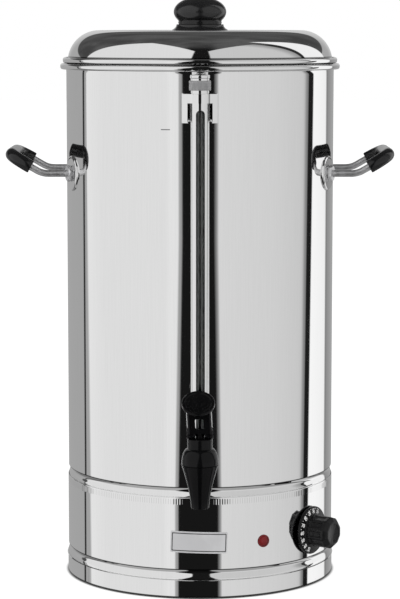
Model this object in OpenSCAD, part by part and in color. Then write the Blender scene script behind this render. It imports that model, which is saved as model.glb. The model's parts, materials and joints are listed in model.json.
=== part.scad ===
// Hot water urn of about 20 litres, in millimetres.
// Origin on the urn's vertical axis at the surface it stands on; +Z up, tap towards -Y, +X right.
// An azimuth is counted from the front (-Y) towards the right (+X).

/* [Tank] */
// Outside diameter of the tank
tank_d = 270; // [240:5:320]
// Sheet thickness of the tank wall
tank_wall = 0.8; // [0.6:0.1:1.2]
// Height of the tank from the top edge of the skirt to the top of its rolled rim
tank_h = 419; // [380:1:520]
// Radius of the rolled rim
rim_curl_r = 2.9; // [2.4:0.1:4]
// Depth of the rolled bead near the foot of the tank
bead_depth = 2.5; // [1.5:0.1:3.5]
// Width of the rolled bead
bead_w = 9; // [7:0.5:12]
// Height of the middle of the bead above the top edge of the skirt
bead_rise = 7; // [6.5:0.5:12]
// Sheet thickness of the tank floor
floor_wall = 1; // [0.8:0.1:1.5]
// Height of the tank floor above the top edge of the skirt
floor_rise = 0.3; // [0.2:0.1:1]

/* [Skirt and bottom] */
// Height of the skirt's lower edge above the surface the urn stands on
skirt_gap = 1.5; // [1:0.5:3]
// Height of the skirt
skirt_h = 99; // [90:1:130]
// Sheet thickness of the skirt
skirt_wall = 0.8; // [0.6:0.1:1.2]
// How far the skirt stands out from the tank wall
skirt_proud = 0.6; // [0.5:0.1:1.5]
// How far the band under the lower bead stands out from the skirt
band_proud = 0.6; // [0.3:0.1:0.7]
// Height of the middle of the lower bead above the skirt's lower edge
foot_bead_h = 24.5; // [20:0.5:30]
// Depth of the lower bead
foot_bead_depth = 2.2; // [1.5:0.1:3]
// Width of the lower bead
foot_bead_w = 8; // [6:0.5:10]
// Height over which the skirt laps the tank's lower edge
lap_h = 12; // [8:1:16]
// Thickness of the bottom cover
cover_wall = 1; // [0.8:0.1:1.5]
// Height of the bottom cover's upturned edge
cover_edge_h = 10; // [6:1:12]
// Height of the rubber feet
foot_h = 6; // [5:0.5:9]
// Diameter of the rubber feet
foot_d = 22; // [18:1:28]
// Distance of the feet and posts in from the tank wall
foot_inset = 35; // [31:1:39]
// Diameter of the posts that carry the bottom cover
post_d = 8; // [7:0.5:10]

/* [Lid] */
// How far the lid's rolled edge stands out from the tank wall
lid_over = 3.4; // [3.2:0.1:3.8]
// Radius of the lid's rolled edge
lid_curl_r = 2.9; // [2.4:0.1:4]
// Sheet thickness of the lid
lid_wall = 0.8; // [0.6:0.1:1.2]
// Height of the lid's flat top above the middle of its rolled edge
lid_rise = 29.8; // [27:0.2:45]
// Radius of the lid's round shoulder
lid_shoulder_r = 31.5; // [29:0.5:34]
// Clearance between the rolled edge of the lid and the rim
lid_clear = 0.3; // [0.3:0.1:0.6]
// Gap between the locating ring and the tank wall
lid_ring_gap = 1.8; // [1.5:0.1:3]
// Depth of the locating ring below the rim
lid_ring_depth = 13.5; // [8:0.5:20]

/* [Lid knob] */
// Largest diameter of the knob
knob_d = 53; // [44:1:60]
// Height of the knob's bulb from its widest place to its top
knob_crown_h = 15.2; // [12:0.2:20]
// Diameter of the knob's neck
knob_neck_d = 43.4; // [36:0.2:48]
// Height of the knob's widest place above the collar
knob_belt_h = 12.5; // [11:0.5:16]
// Diameter of the collar at the lid
collar_d = 56.4; // [52:0.2:64]
// Diameter of the collar at its top
collar_top_d = 47.6; // [44:0.2:52]
// Height of the collar
collar_h = 6; // [4:0.5:9]
// Diameter of the knob's screw
knob_screw_d = 6; // [5:1:8]

/* [Handles] */
// Azimuth of the front pair of handle plates
handle_az = 70.5; // [68:0.5:74]
// Height of the handle arms above the top edge of the skirt
handle_rise = 310.5; // [290:0.5:340]
// Diameter of the handle rod
rod_d = 6.5; // [6:0.5:8]
// Outside diameter of the black sleeve
sleeve_d = 13.4; // [12:0.2:16]
// Distance of the grip's centre line from the tank wall
handle_reach = 53.3; // [48:0.1:62]
// Distance of the upward bend from the tank wall
handle_knee = 22; // [20:1:26]
// Angle of the upward bend
handle_lift = 30; // [20:1:40]
// Length of the sleeve's straight legs past the round corners
sleeve_leg = 3; // [2:0.5:5]
// Diameter of the dished wall plates
plate_d = 35; // [32:1:40]
// Rise of a wall plate's middle above the tank wall
plate_rise = 4.2; // [3.5:0.1:6]
// Thickness of a wall plate
plate_wall = 1.2; // [1:0.1:1.6]
// Width across flats of the outer handle nuts
outer_nut_af = 15; // [13:1:17]
// Thickness of the handle nuts
handle_nut_h = 5; // [4:0.5:6]
// Width across flats of the inner handle nuts
inner_nut_af = 11; // [10:1:13]

/* [Tap] */
// Distance of the tap's axis from the tank wall
tap_standoff = 44; // [43:0.5:52]
// Height of the tap's shank above the tank floor
shank_rise = 30.2; // [30:0.1:40]
// Outside diameter of the shank
shank_d = 19; // [18:0.2:19.4]
// Bore of the shank
shank_bore_d = 12; // [10:0.5:13]
// Largest diameter of the tap body and of its bonnet
tap_d = 35.5; // [34:0.5:42]
// Outside diameter of the spout at its outlet
spout_d = 17.3; // [16.5:0.1:20]
// Bore of the spout
spout_bore_d = 13; // [11:0.5:13.5]
// Height of the tap body from the outlet to the foot of the bonnet
tap_body_h = 42; // [41:0.5:50]
// Height of the valve seat above the outlet
seat_h = 24; // [22:0.5:25]
// Diameter of the valve chamber
chamber_d = 21; // [20:0.5:22]
// Height of the bonnet's dome
bonnet_dome_h = 15.5; // [14:0.5:20]
// Diameter of the bonnet's collar
bonnet_collar_d = 24; // [22:0.5:27]
// Height of the bonnet's collar
bonnet_collar_h = 10; // [8:0.5:14]
// Diameter of the valve stem
stem_d = 8; // [7:0.5:8.5]

/* [Tap lever] */
// Radius of the lever's heel about its pin
heel_r = 5.5; // [5:0.1:6]
// Distance of the heel's lobe from the pin, which is the lift for each radian of turn
heel_lobe = 5; // [4:0.5:5.5]
// Width of the lever
lever_w = 24.6; // [23:0.2:27]
// Thickness of the lever's cheeks
cheek_t = 3.2; // [2.5:0.1:4]
// Diameter of the lever's pin
lever_pin_d = 3; // [2.5:0.5:3.5]
// Diameter of the round pad
pad_d = 31.6; // [28:0.2:36]
// Thickness of the pad
pad_t = 4; // [3:0.5:5]
// Height of the pad's centre above the pin
pad_rise = 28.5; // [26:0.5:34]
// Forward reach of the pad's centre from the pin
pad_reach = 7; // [6:0.5:9]
// Angle by which the pad's face looks up
pad_tilt = 42; // [35:1:50]
// Width of the window in the lever
window_w = 8.2; // [6:0.2:10]
// Height of the window
window_h = 9.6; // [8:0.2:10.4]

/* [Sight gauge] */
// Distance of the gauge's axis from the tank wall
gauge_standoff = 15; // [14.5:0.1:16]
// Outside diameter of the guard tube
guard_d = 17.6; // [16.8:0.1:17.8]
// Wall of the guard tube
guard_wall = 0.8; // [0.6:0.1:0.9]
// Width of the guard's slot
slot_w = 8.5; // [7:0.1:10]
// Outside diameter of the glass
glass_d = 11; // [10:0.1:11.4]
// Wall of the glass
glass_wall = 1.7; // [1.2:0.1:2.2]
// Distance of the guard's top below the top of the rim
guard_drop = 26.3; // [24:0.1:32]
// Distance of the slot's top below the guard's top
slot_drop = 15.3; // [12:0.1:20]
// Diameter of the gauge cap's knurled band
gauge_band_d = 21.1; // [20:0.1:23]
// Diameter of the polished head of the gauge cap
gauge_head_d = 19; // [17:0.1:20]
// Width of the saddle bracket
bracket_w = 35; // [32:0.5:40]
// Height of the bracket's band
bracket_band_h = 8.8; // [7:0.1:11]
// Overall height of the bracket with its legs
bracket_h = 27.6; // [22:0.1:32]
// Sheet thickness of the bracket
bracket_t = 1.5; // [1:0.1:1.6]
// Width of the bracket's legs
bracket_leg_w = 5.5; // [4.5:0.1:6]

/* [Controls] */
// Azimuth of the thermostat knob
dial_az = 54; // [50:1:60]
// Height of the thermostat knob above the skirt's lower edge
dial_h = 55; // [50:1:60]
// Diameter of the dial
dial_d = 48; // [44:1:52]
// Diameter of the grip across its corners
grip_d = 31; // [26:0.5:36]
// Distance from the skirt to the end of the grip
grip_reach = 28.4; // [24:0.1:34]
// Gap between the skirt and the dial
dial_gap = 2.7; // [2.4:0.1:4]
// Diameter of the thermostat's shaft
shaft_d = 6; // [5:0.5:6.5]
// Side of the thermostat's body
thermostat_w = 36; // [34:1:40]
// Depth of the thermostat's body
thermostat_t = 26; // [22:1:28]
// Azimuth of the pilot lamp
lamp_az = 27.4; // [24:0.2:30]
// Height of the pilot lamp above the skirt's lower edge
lamp_h = 52.9; // [46:0.1:60]
// Diameter of the pilot lamp's lens
lamp_d = 12.6; // [11:0.2:15]
// Length of the lamp's housing
lamp_housing_l = 20; // [16:1:24]
// Azimuth of the boil-dry reset button
reset_az = 155; // [150:1:160]
// Height of the reset button above the skirt's lower edge
reset_h = 50; // [40:1:60]
// Diameter of the reset button
reset_d = 5; // [4:0.5:6]
// Travel of the reset button
reset_travel = 1.5; // [1:0.5:2.5]
// Height of the cord gland above the skirt's lower edge
gland_h = 43; // [42:0.5:50]
// Bore of the cord gland
gland_bore_d = 8.4; // [7:0.1:9]
// Width of the bare plate on the skirt
plaque_w = 56; // [40:1:70]
// Height of the bare plate
plaque_h = 21.2; // [14:0.2:26]
// Height of the plate's middle above the skirt's lower edge
plaque_mid_h = 54.6; // [48:0.2:62]

/* [Heating] */
// Radius of the heating element's ring
element_r = 62; // [60:1:66]
// Diameter of the element's sheath
element_d = 8; // [6.5:0.5:9]
// Radius of the aluminium heat spreader
spreader_r = 85; // [76:1:90]
// Thickness of the heat spreader
spreader_t = 3; // [2:0.5:4]

/* [Hidden] */
$fn = 72;

// Clearances
fit = 0.05;              // radial clearance of a running fit
slip = 0.1;              // clearance between pieces that are fastened together
bolt_gap = 0.3;          // clearance of a screw or stud in its hole
air = 0.3;               // clearance between pieces that pass each other
hair = 0.03;             // how much thinner a rod's straight lengths are than its bends
run_in = 0.3;            // how far a straight length runs into a bend
wall_fn = 360;           // sides of the drawn cylinders that trim pieces to the tank's wall

// Tank
tank_ro = tank_d / 2;
tank_ri = tank_ro - tank_wall;
skirt_top = skirt_gap + skirt_h;
rim_top = skirt_top + tank_h;
floor_z = skirt_top + floor_rise;
floor_under = floor_z - floor_wall;
bead_z = skirt_top + bead_rise;
curl_step = 0.2;                                  // gap between the rim's curl and the wall
skirt_ro = tank_ro + skirt_proud;
skirt_ri = skirt_ro - skirt_wall;
lap_ro = skirt_ri - slip;
foot_bead_z = skirt_gap + foot_bead_h;
foot_circle_r = tank_ro - foot_inset;
band_top = foot_bead_z - foot_bead_w / 2 + 0.4;

// Lid
lid_edge_z = rim_top + lid_clear + lid_curl_r;    // middle of the lid's rolled edge
lid_top = lid_edge_z + lid_rise;
lid_edge_r = tank_ro + lid_over - lid_curl_r;
shoulder_z = lid_top - lid_shoulder_r;
shoulder_r = lid_edge_r - lid_curl_r + lid_wall
    - sqrt(pow(lid_shoulder_r, 2) - pow(lid_edge_z - shoulder_z, 2));
ring_wall = 0.8;
collar_top = lid_top + collar_h;
knob_belt_z = collar_top + knob_belt_h;
knob_neck_h = 4;
knob_screw_engage = 18;

// Handles
handle_z = skirt_top + handle_rise;
bend_out_r = tank_ro + 8;                         // where an arm turns parallel to X
arm_y = bend_out_r * cos(handle_az);
knee_bend = 24;
corner_bend = 20;
small_bend = 6;
plate_edge_rise = 1;
seal_t = 3;
seal_d = 18;
rod_inside = 12;                                  // length of a rod's end inside the tank

// Tap
tap_y = -(tank_ro + tap_standoff);
shank_z = floor_z + shank_rise;
shank_r = shank_d / 2;
boss_r = shank_r + 2.5;
seat_z = shank_z - shank_bore_d / 2 - 1;
outlet_z = seat_z - seat_h;
body_top = outlet_z + tap_body_h;
neck_r = chamber_d / 2 + 3;
neck_h = 10;
bonnet_foot = body_top + air;
bonnet_shoulder = bonnet_foot + bonnet_dome_h;
bonnet_top = bonnet_shoulder + bonnet_collar_h;
bonnet_roof = bonnet_foot + neck_h + air;         // underside of the bonnet inside its thread
spring_top = bonnet_top - 5;
spring_seat_t = 2;
spring_seat_z = spring_top - 23;
cup_h = 8;
pin_z = bonnet_top + air + heel_r;
stem_top = pin_z + lever_pin_d / 2 + 1.5;
stem_r = stem_d / 2;
shank_front = tap_y + chamber_d / 2 + 1;          // front end of the shank, inside the tap body
shank_inside = 17;                                // length of the shank inside the tank
shank_nut_af = 26;
shank_nut_h = 5.5;
shank_seal_t = 3.5;
shank_collar_t = 4;
web_t = 3;
web_front = heel_lobe + heel_r + 1;               // front of the lever's web, ahead of the pin
web_low = 2.4;
window_low = 4.8;
cheek_back = 1;
slot_gap = stem_r + 0.4;

// Sight gauge
gauge_y = -(tank_ro + gauge_standoff);
guard_r = guard_d / 2;
glass_r = glass_d / 2;
guard_top = rim_top - guard_drop;
tee_r = guard_r + 0.2;
tee_top = shank_z + 21;
socket_r = tee_r - 1.5;
socket_h = 10;
slot_bottom = tee_top + 16;
gauge_neck_h = 3.3;
gauge_band_h = 9.4;
gauge_head_h = 5.5;
spigot_h = 8;
seal_h = 3.6;
collar_t = 1.5;

// Controls
dial_z = skirt_gap + dial_h;
lamp_z = skirt_gap + lamp_h;
reset_z = skirt_gap + reset_h;
gland_z = skirt_gap + gland_h;
thermostat_face = sqrt(pow(skirt_ri, 2) - pow(thermostat_w / 2, 2)) - air;
dial_t = 2.5;
shaft_depth = 14;
screw_pitch = 13.5;
cutout_w = 24;
cutout_t = 22;
cutout_face = sqrt(pow(skirt_ri, 2) - pow(cutout_w / 2, 2)) - air;
cutout_bush_r = 5;
cutout_bush_l = 4;
gland_r = 8;
gland_af = 24;
gland_flange_t = 5;
gland_thread_l = 16;
lamp_barrel_r = lamp_d / 2 - 1.5;
lamp_flange_t = 1.5;
lamp_dome_h = 2;
plaque_t = 0.3;
plaque_slant = 1.6;
block_l = 54;
block_w = 22;
block_t = 18;
block_y = foot_circle_r - 40;
lead_r = 1.4;
lead_bend = 5;

// Heating
spreader_under = floor_under - spreader_t;
element_z = spreader_under - element_d / 2 - slip;
clamp_top = element_z - element_d / 2 - slip;
clamp_t = 2.5;
clamp_w = 16;
stud_d = 6;
stud_l = 22;
element_gap_angle = 15;                           // half of the ring's open angle, at the back
leg_r = element_d / 2 - 1;
leg_l = 25;
pin_l = 10;
bulb_r = 3;
bulb_l = 70;
bulb_y = 28;
capillary_r = 1;

STEEL = [0.80, 0.81, 0.83];
BRUSHED = [0.66, 0.67, 0.69];
BLACK = [0.06, 0.06, 0.06];
RUBBER = [0.15, 0.15, 0.16];
CREAM = [0.85, 0.82, 0.74];
BRASS = [0.78, 0.63, 0.30];

// ---- helpers ----

function unit(v) = v / norm(v);

// Point on the radial line at an azimuth, r from the axis and z up
function wall_point(az, r, z) = [r * sin(az), -r * cos(az), z];

// Radius of the circle that cuts a bead of this depth and width
function bead_radius(depth, width) = (pow(width, 2) / 4 + pow(depth, 2)) / (2 * depth);

// Children are drawn with +Z pointing outward from the wall, +Y up and +X to the viewer's right
module on_wall(az, z) {
    translate([0, 0, z]) rotate([0, 0, az]) rotate([90, 0, 0]) children();
}

module ring(r_out, r_in, h) {
    difference() {
        cylinder(r = r_out, h = h);
        translate([0, 0, -1]) cylinder(r = r_in, h = h + 2);
    }
}

module hex_nut(across_flats, r_in, h) {
    difference() {
        cylinder(d = across_flats / cos(30), h = h, $fn = 6);
        translate([0, 0, -1]) cylinder(r = r_in, h = h + 2);
    }
}

// Section of a sheet wall from z0 to z1 with inward beads, each [height, depth, width]
module beaded_section(r_out, wall, z0, z1, beads) {
    difference() {
        union() {
            translate([r_out - wall, z0]) square([wall, z1 - z0]);
            for (b = beads) {
                reach = b[1] + 2 * wall;
                intersection() {
                    translate([r_out + bead_radius(b[1], b[2]) - b[1], b[0]])
                        circle(bead_radius(b[1], b[2]) + wall);
                    translate([r_out - reach, b[0] - b[2]]) square([reach, 2 * b[2]]);
                }
            }
        }
        for (b = beads) {
            translate([r_out + bead_radius(b[1], b[2]) - b[1], b[0]])
                circle(bead_radius(b[1], b[2]));
        }
    }
}

// Section of a rolled edge, open in the quarter on its inner side above or below its middle
module curl_section(r, wall, open_above) {
    difference() {
        circle(r);
        circle(r - wall);
        translate([-2 * r, open_above ? 0 : -2 * r]) square(2 * r);
    }
}

// Frame at p whose +X runs along x_dir and whose +Y runs along y_dir, square to it
module in_frame(p, x_dir, y_dir) {
    z_dir = cross(x_dir, y_dir);
    multmatrix([
        [x_dir[0], y_dir[0], z_dir[0], p[0]],
        [x_dir[1], y_dir[1], z_dir[1], p[1]],
        [x_dir[2], y_dir[2], z_dir[2], p[2]],
        [0, 0, 0, 1]
    ]) children();
}

function turn_at(a, b, c) = acos(unit(b - a) * unit(c - b));
function trim_at(a, b, c, bend) = bend * tan(turn_at(a, b, c) / 2);

// Any direction square to d
function square_to(d) = unit(cross(d, abs(d[2]) < 0.9 ? [0, 0, 1] : [1, 0, 0]));

module straight_rod(a, b, r) {
    side = square_to(unit(b - a));
    in_frame(a, side, cross(unit(b - a), side)) cylinder(r = r, h = norm(b - a));
}

module elbow_rod(a, b, c, r, bend) {
    d1 = unit(b - a);
    d2 = unit(c - b);
    inward = unit(d2 - (d2 * d1) * d1);
    centre = b - d1 * trim_at(a, b, c, bend) + inward * bend;
    in_frame(centre, -inward, d1)
        rotate_extrude(angle = turn_at(a, b, c)) translate([bend, 0]) circle(r);
}

// Round rod through the points, with a bend of the given radius at each inner point.
// The straight lengths are a hair thinner and run a little way into the bends.
module bent_rod(points, r, bends) {
    last = len(points) - 1;
    for (i = [0 : last - 1]) {
        step = unit(points[i + 1] - points[i]);
        cut_a = i == 0 ? 0 : trim_at(points[i - 1], points[i], points[i + 1], bends[i - 1]) - run_in;
        cut_b = i == last - 1 ? 0
            : trim_at(points[i], points[i + 1], points[i + 2], bends[i]) - run_in;
        straight_rod(points[i] + step * cut_a, points[i + 1] - step * cut_b, r - hair);
    }
    for (i = [1 : last - 1]) {
        elbow_rod(points[i - 1], points[i], points[i + 1], r, bends[i - 1]);
    }
}

// ---- tank and base ----

module handle_azimuths() {
    for (az = [handle_az, 180 - handle_az, -handle_az, handle_az - 180]) {
        on_wall(az, handle_z) children();
    }
}

module tank_shell() {
    curl_r = tank_ro + curl_step + rim_curl_r;
    color(STEEL) difference() {
        rotate_extrude() {
            beaded_section(tank_ro, tank_wall, skirt_top + slip, rim_top,
                [[bead_z, bead_depth, bead_w]]);
            translate([lap_ro - tank_wall, skirt_top - lap_h]) square([tank_wall, lap_h + 1]);
            translate([tank_ri, rim_top - tank_wall]) square([curl_r - tank_ri, tank_wall]);
            translate([curl_r, rim_top - rim_curl_r]) curl_section(rim_curl_r, tank_wall, true);
        }
        on_wall(0, shank_z) translate([0, 0, tank_ri - 8]) cylinder(r = shank_r + bolt_gap, h = 16);
        handle_azimuths() translate([0, 0, tank_ri - 8]) cylinder(r = rod_d / 2 + slip, h = 16);
    }
}

module tank_floor() {
    floor_r = lap_ro - tank_wall - fit;
    color(BRUSHED) {
        rotate_extrude() {
            translate([0, floor_under]) square([floor_r, floor_wall]);
            translate([floor_r - floor_wall, skirt_top - lap_h])
                square([floor_wall, floor_z - skirt_top + lap_h]);
        }
        translate([0, 0, floor_under - stud_l]) cylinder(d = stud_d, h = stud_l + floor_wall / 2);
    }
}

module base_skirt() {
    color(STEEL) difference() {
        rotate_extrude() {
            beaded_section(skirt_ro, skirt_wall, foot_bead_z - foot_bead_w / 2, skirt_top,
                [[foot_bead_z, foot_bead_depth, foot_bead_w]]);
            translate([skirt_ri + band_proud, skirt_gap]) square([skirt_wall, band_top - skirt_gap]);
            translate([skirt_ri, band_top - skirt_wall]) square([skirt_wall + band_proud, skirt_wall]);
        }
        on_wall(dial_az, dial_z) translate([0, 0, skirt_ri - 5]) {
            cylinder(r = shaft_d / 2 + 1.5, h = 12);
            for (y = [-screw_pitch, screw_pitch]) translate([0, y, 0]) cylinder(r = 2.2, h = 12);
        }
        on_wall(lamp_az, lamp_z) translate([0, 0, skirt_ri - 5])
            cylinder(r = lamp_barrel_r + bolt_gap, h = 12);
        on_wall(reset_az, reset_z) translate([0, 0, skirt_ri - 5])
            cylinder(r = cutout_bush_r + slip, h = 12);
        on_wall(180, gland_z) translate([0, 0, skirt_ri - 5]) cylinder(r = gland_r + slip, h = 12);
    }
}

module foot_places() {
    for (a = [15 : 90 : 285]) {
        rotate([0, 0, a]) translate([foot_circle_r, 0, 0]) children();
    }
}

cover_top = foot_h + cover_wall;
screw_r = 2;
screw_head_r = 4;
screw_head_t = 2.2;
screw_grip = 8;                                   // length of a cover screw inside its post
cover_gap = 0.9;                                  // gap between the cover's edge and the skirt's bead

module bottom_cover() {
    cover_r = skirt_ro - foot_bead_depth - skirt_wall - cover_gap;
    color(BRUSHED) difference() {
        rotate_extrude() {
            translate([0, foot_h]) square([cover_r, cover_wall]);
            translate([cover_r - cover_wall, foot_h]) square([cover_wall, cover_edge_h]);
        }
        foot_places() cylinder(r = screw_r + bolt_gap, h = 2 * cover_top);
    }
}

module cover_posts() {
    color(BRUSHED) foot_places() difference() {
        translate([0, 0, cover_top]) cylinder(d = post_d, h = floor_under - cover_top);
        translate([0, 0, cover_top - 1]) cylinder(r = screw_r + fit, h = screw_grip + 5);
    }
}

module cover_screws() {
    color(BRUSHED) foot_places() {
        translate([0, 0, foot_h / 2 - screw_head_t]) cylinder(r = screw_head_r, h = screw_head_t);
        translate([0, 0, foot_h / 2 - 1]) cylinder(r = screw_r, h = cover_top + screw_grip - foot_h / 2 + 1);
    }
}

module rubber_feet() {
    color(RUBBER) foot_places() difference() {
        cylinder(d = foot_d, h = foot_h);
        translate([0, 0, -1]) cylinder(r = screw_head_r + 0.4, h = foot_h / 2 + 1);
        translate([0, 0, -1]) cylinder(r = screw_r + slip, h = foot_h + 2);
    }
}

// ---- heating ----

module heat_spreader() {
    color(BRUSHED) translate([0, 0, spreader_under])
        ring(spreader_r, stud_d / 2 + bolt_gap, spreader_t);
}

function element_end(side) = [side * element_r * sin(element_gap_angle),
    element_r * cos(element_gap_angle), element_z];

module heating_element() {
    color(BRUSHED) {
        rotate([0, 0, 90 + element_gap_angle]) translate([0, 0, element_z])
            rotate_extrude(angle = 360 - 2 * element_gap_angle)
                translate([element_r, 0]) circle(d = element_d);
        for (side = [-1, 1]) {
            leg = element_end(side) + [side * element_d / 2, 0, -leg_l];
            translate(leg) cylinder(r = leg_r, h = leg_l);
            translate(leg - [0, 0, pin_l]) cylinder(r = leg_r / 2, h = pin_l + 1);
        }
    }
}

module element_clamp() {
    bar_l = 2 * (element_r + element_d + 4);
    color(BRUSHED) difference() {
        translate([-bar_l / 2, -clamp_w / 2, clamp_top - clamp_t]) cube([bar_l, clamp_w, clamp_t]);
        translate([0, 0, clamp_top - 10]) cylinder(r = stud_d / 2 + bolt_gap, h = 20);
    }
}

module clamp_nut() {
    color(BRUSHED) translate([0, 0, clamp_top - clamp_t - 5]) hex_nut(10, stud_d / 2 + fit, 5);
}

earth_x = -(foot_circle_r + 8);
earth_y = 20;
earth_l = 15;

module earth_stud() {
    color(BRASS) translate([earth_x, earth_y, 0]) {
        translate([0, 0, floor_under - earth_l]) cylinder(r = 2.5, h = earth_l);
        translate([0, 0, floor_under - 9]) cylinder(d = 8 / cos(30), h = 4, $fn = 6);
    }
}

module thermostat_body() {
    color(CREAM) on_wall(dial_az, dial_z) difference() {
        translate([-thermostat_w / 2, -thermostat_w / 2, thermostat_face - thermostat_t])
            cube([thermostat_w, thermostat_w, thermostat_t]);
        translate([0, 0, thermostat_face - shaft_depth])
            cylinder(r = shaft_d / 2 + fit, h = shaft_depth + 1);
        for (y = [-screw_pitch, screw_pitch]) {
            translate([0, y, thermostat_face - 8.5]) cylinder(r = 1.9 + fit, h = 10);
        }
    }
}

module thermostat_screws() {
    head_seat = skirt_ro + fit;
    color(BRUSHED) on_wall(dial_az, dial_z) {
        for (y = [-screw_pitch, screw_pitch]) translate([0, y, 0]) {
            translate([0, 0, thermostat_face - 8]) cylinder(r = 1.9, h = head_seat - thermostat_face + 8.5);
            translate([0, 0, head_seat]) cylinder(r = 3.4, h = 1.6);
        }
    }
}

bulb_z = spreader_under - bulb_r - slip;
tube_port = wall_point(dial_az, thermostat_face - thermostat_t - slip, dial_z + 10);
tube_lead = wall_point(dial_az, thermostat_face - thermostat_t - 17, dial_z + 10);

module thermostat_capillary() {
    low = clamp_top - clamp_t - 8;
    color(BRASS) {
        translate([-bulb_l / 2, bulb_y, bulb_z]) rotate([0, 90, 0]) cylinder(r = bulb_r, h = bulb_l);
        bent_rod([[bulb_l / 2 - 1, bulb_y, bulb_z], [bulb_l / 2 + 14, bulb_y, bulb_z],
            [bulb_l / 2 + 14, bulb_y, low], [bulb_l / 2 + 35, -bulb_y, low], tube_lead, tube_port],
            capillary_r, [5, 5, 5, 5]);
    }
}

module bulb_clip() {
    color(BRUSHED) difference() {
        translate([-5, bulb_y - 7, bulb_z - bulb_r - 1.5]) cube([10, 14, bulb_r * 2 + 1.5 + slip]);
        translate([-10, bulb_y, bulb_z]) rotate([0, 90, 0]) cylinder(r = bulb_r + slip, h = 20);
        translate([-10, bulb_y - bulb_r - slip, bulb_z]) cube([20, 2 * (bulb_r + slip), 20]);
    }
}

// ---- pilot lamp, cut-out, wiring, gland ----

lamp_seat = skirt_ro + fit;

module pilot_lens() {
    dome_r = (pow(lamp_d / 2, 2) + pow(lamp_dome_h, 2)) / (2 * lamp_dome_h);
    color([0.5, 0.05, 0.05]) on_wall(lamp_az, lamp_z) {
        translate([0, 0, lamp_seat]) cylinder(d = lamp_d, h = lamp_flange_t);
        translate([0, 0, lamp_seat - 8]) cylinder(r = lamp_barrel_r, h = 9);
        rotate_extrude() intersection() {
            translate([0, lamp_seat + lamp_flange_t + lamp_dome_h - dome_r]) circle(dome_r);
            translate([0, lamp_seat + lamp_flange_t - 0.5]) square([lamp_d / 2, lamp_dome_h + 1]);
        }
    }
}

module pilot_housing() {
    front = skirt_ri - 1.8;
    color(CREAM) on_wall(lamp_az, lamp_z) difference() {
        translate([0, 0, front - lamp_housing_l]) cylinder(r = lamp_barrel_r + 2, h = lamp_housing_l);
        translate([0, 0, lamp_seat - 8 - air]) cylinder(r = lamp_barrel_r + slip, h = 10);
    }
}

module pilot_spring_nut() {
    color(BRUSHED) on_wall(lamp_az, lamp_z) translate([0, 0, skirt_ri - 1.7])
        ring(lamp_barrel_r + 3, lamp_barrel_r + slip, 1);
}

module cutout_body() {
    bore_end = cutout_face - 7;
    color(CREAM) on_wall(reset_az, reset_z) difference() {
        union() {
            translate([-cutout_w / 2, -cutout_w / 2, cutout_face - cutout_t])
                cube([cutout_w, cutout_w, cutout_t]);
            translate([0, 0, cutout_face - 1])
                cylinder(r = cutout_bush_r, h = skirt_ro + cutout_bush_l - cutout_face + 1);
        }
        translate([0, 0, bore_end]) cylinder(r = reset_d / 2 + fit, h = 30);
    }
}

module cutout_nut() {
    color(BRUSHED) on_wall(reset_az, reset_z) translate([0, 0, skirt_ro + slip])
        hex_nut(14, cutout_bush_r + fit, 2.5);
}

module reset_button() {
    inner = cutout_face - 7 + reset_travel + air;
    outer = skirt_ro + cutout_bush_l + reset_travel + 1;
    color([0.6, 0.1, 0.08]) on_wall(reset_az, reset_z)
        translate([0, 0, inner]) cylinder(d = reset_d, h = outer - inner);
}

block_top = cover_top + block_t;
pole_x = element_r * sin(element_gap_angle) + element_d / 2;   // the element's pins and the outer poles
screw_places = [for (x = [-pole_x, 0, pole_x]) for (y = [-6, 6]) [x, y]];

module terminal_block() {
    color(CREAM) translate([0, block_y, 0]) difference() {
        translate([-block_l / 2, -block_w / 2, cover_top]) cube([block_l, block_w, block_t]);
        for (p = screw_places) translate([p[0], p[1], block_top - 6]) cylinder(r = 1.8 + fit, h = 7);
    }
}

module terminal_screws() {
    color(BRASS) translate([0, block_y, 0]) {
        for (p = screw_places) translate([p[0], p[1], block_top - 5.5]) cylinder(r = 1.8, h = 4.5);
    }
}

// Leads: block to thermostat, thermostat to element, element to block, earth stud to block
module internal_leads() {
    pin_y = element_r * cos(element_gap_angle);
    pin_low = element_z - leg_l - pin_l - slip;
    port_r = thermostat_face - thermostat_t;
    front_y = block_y - block_w / 2 - slip;
    lead_z = block_top - 8;
    color([0.5, 0.25, 0.15]) {
        bent_rod([[pole_x, pin_y, pin_low], [pole_x, pin_y, pin_low - 14],
            wall_point(dial_az, port_r - 30, dial_z - 2),
            wall_point(dial_az, port_r - slip, dial_z - 2)], lead_r, [lead_bend, lead_bend]);
        bent_rod([[pole_x, front_y, lead_z], [pole_x, front_y - 20, lead_z],
            wall_point(dial_az, port_r - 30, dial_z - 12),
            wall_point(dial_az, port_r - slip, dial_z - 12)], lead_r, [lead_bend, lead_bend]);
        bent_rod([[-pole_x, pin_y, pin_low], [-pole_x, pin_y, pin_low - 12],
            [-pole_x, front_y - 16, pin_low - 12], [-pole_x, front_y - 16, lead_z],
            [-pole_x, front_y, lead_z]], lead_r, [lead_bend, lead_bend, lead_bend]);
        bent_rod([[earth_x, earth_y, floor_under - earth_l - slip], [earth_x, earth_y, 44],
            [0, front_y - 16, 44], [0, front_y - 16, lead_z], [0, front_y, lead_z]],
            lead_r, [lead_bend, lead_bend, lead_bend]);
    }
}

module cord_gland() {
    flange = skirt_ro + slip;
    color(BLACK) on_wall(180, gland_z) difference() {
        union() {
            translate([0, 0, skirt_ri - 9]) cylinder(r = gland_r, h = flange - skirt_ri + 9.5);
            translate([0, 0, flange]) cylinder(d = gland_af / cos(30), h = gland_flange_t, $fn = 6);
            translate([0, 0, flange + gland_flange_t - 0.5]) cylinder(r = gland_r, h = gland_thread_l - 4);
        }
        translate([0, 0, skirt_ri - 20]) cylinder(d = gland_bore_d, h = 60);
    }
}

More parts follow.
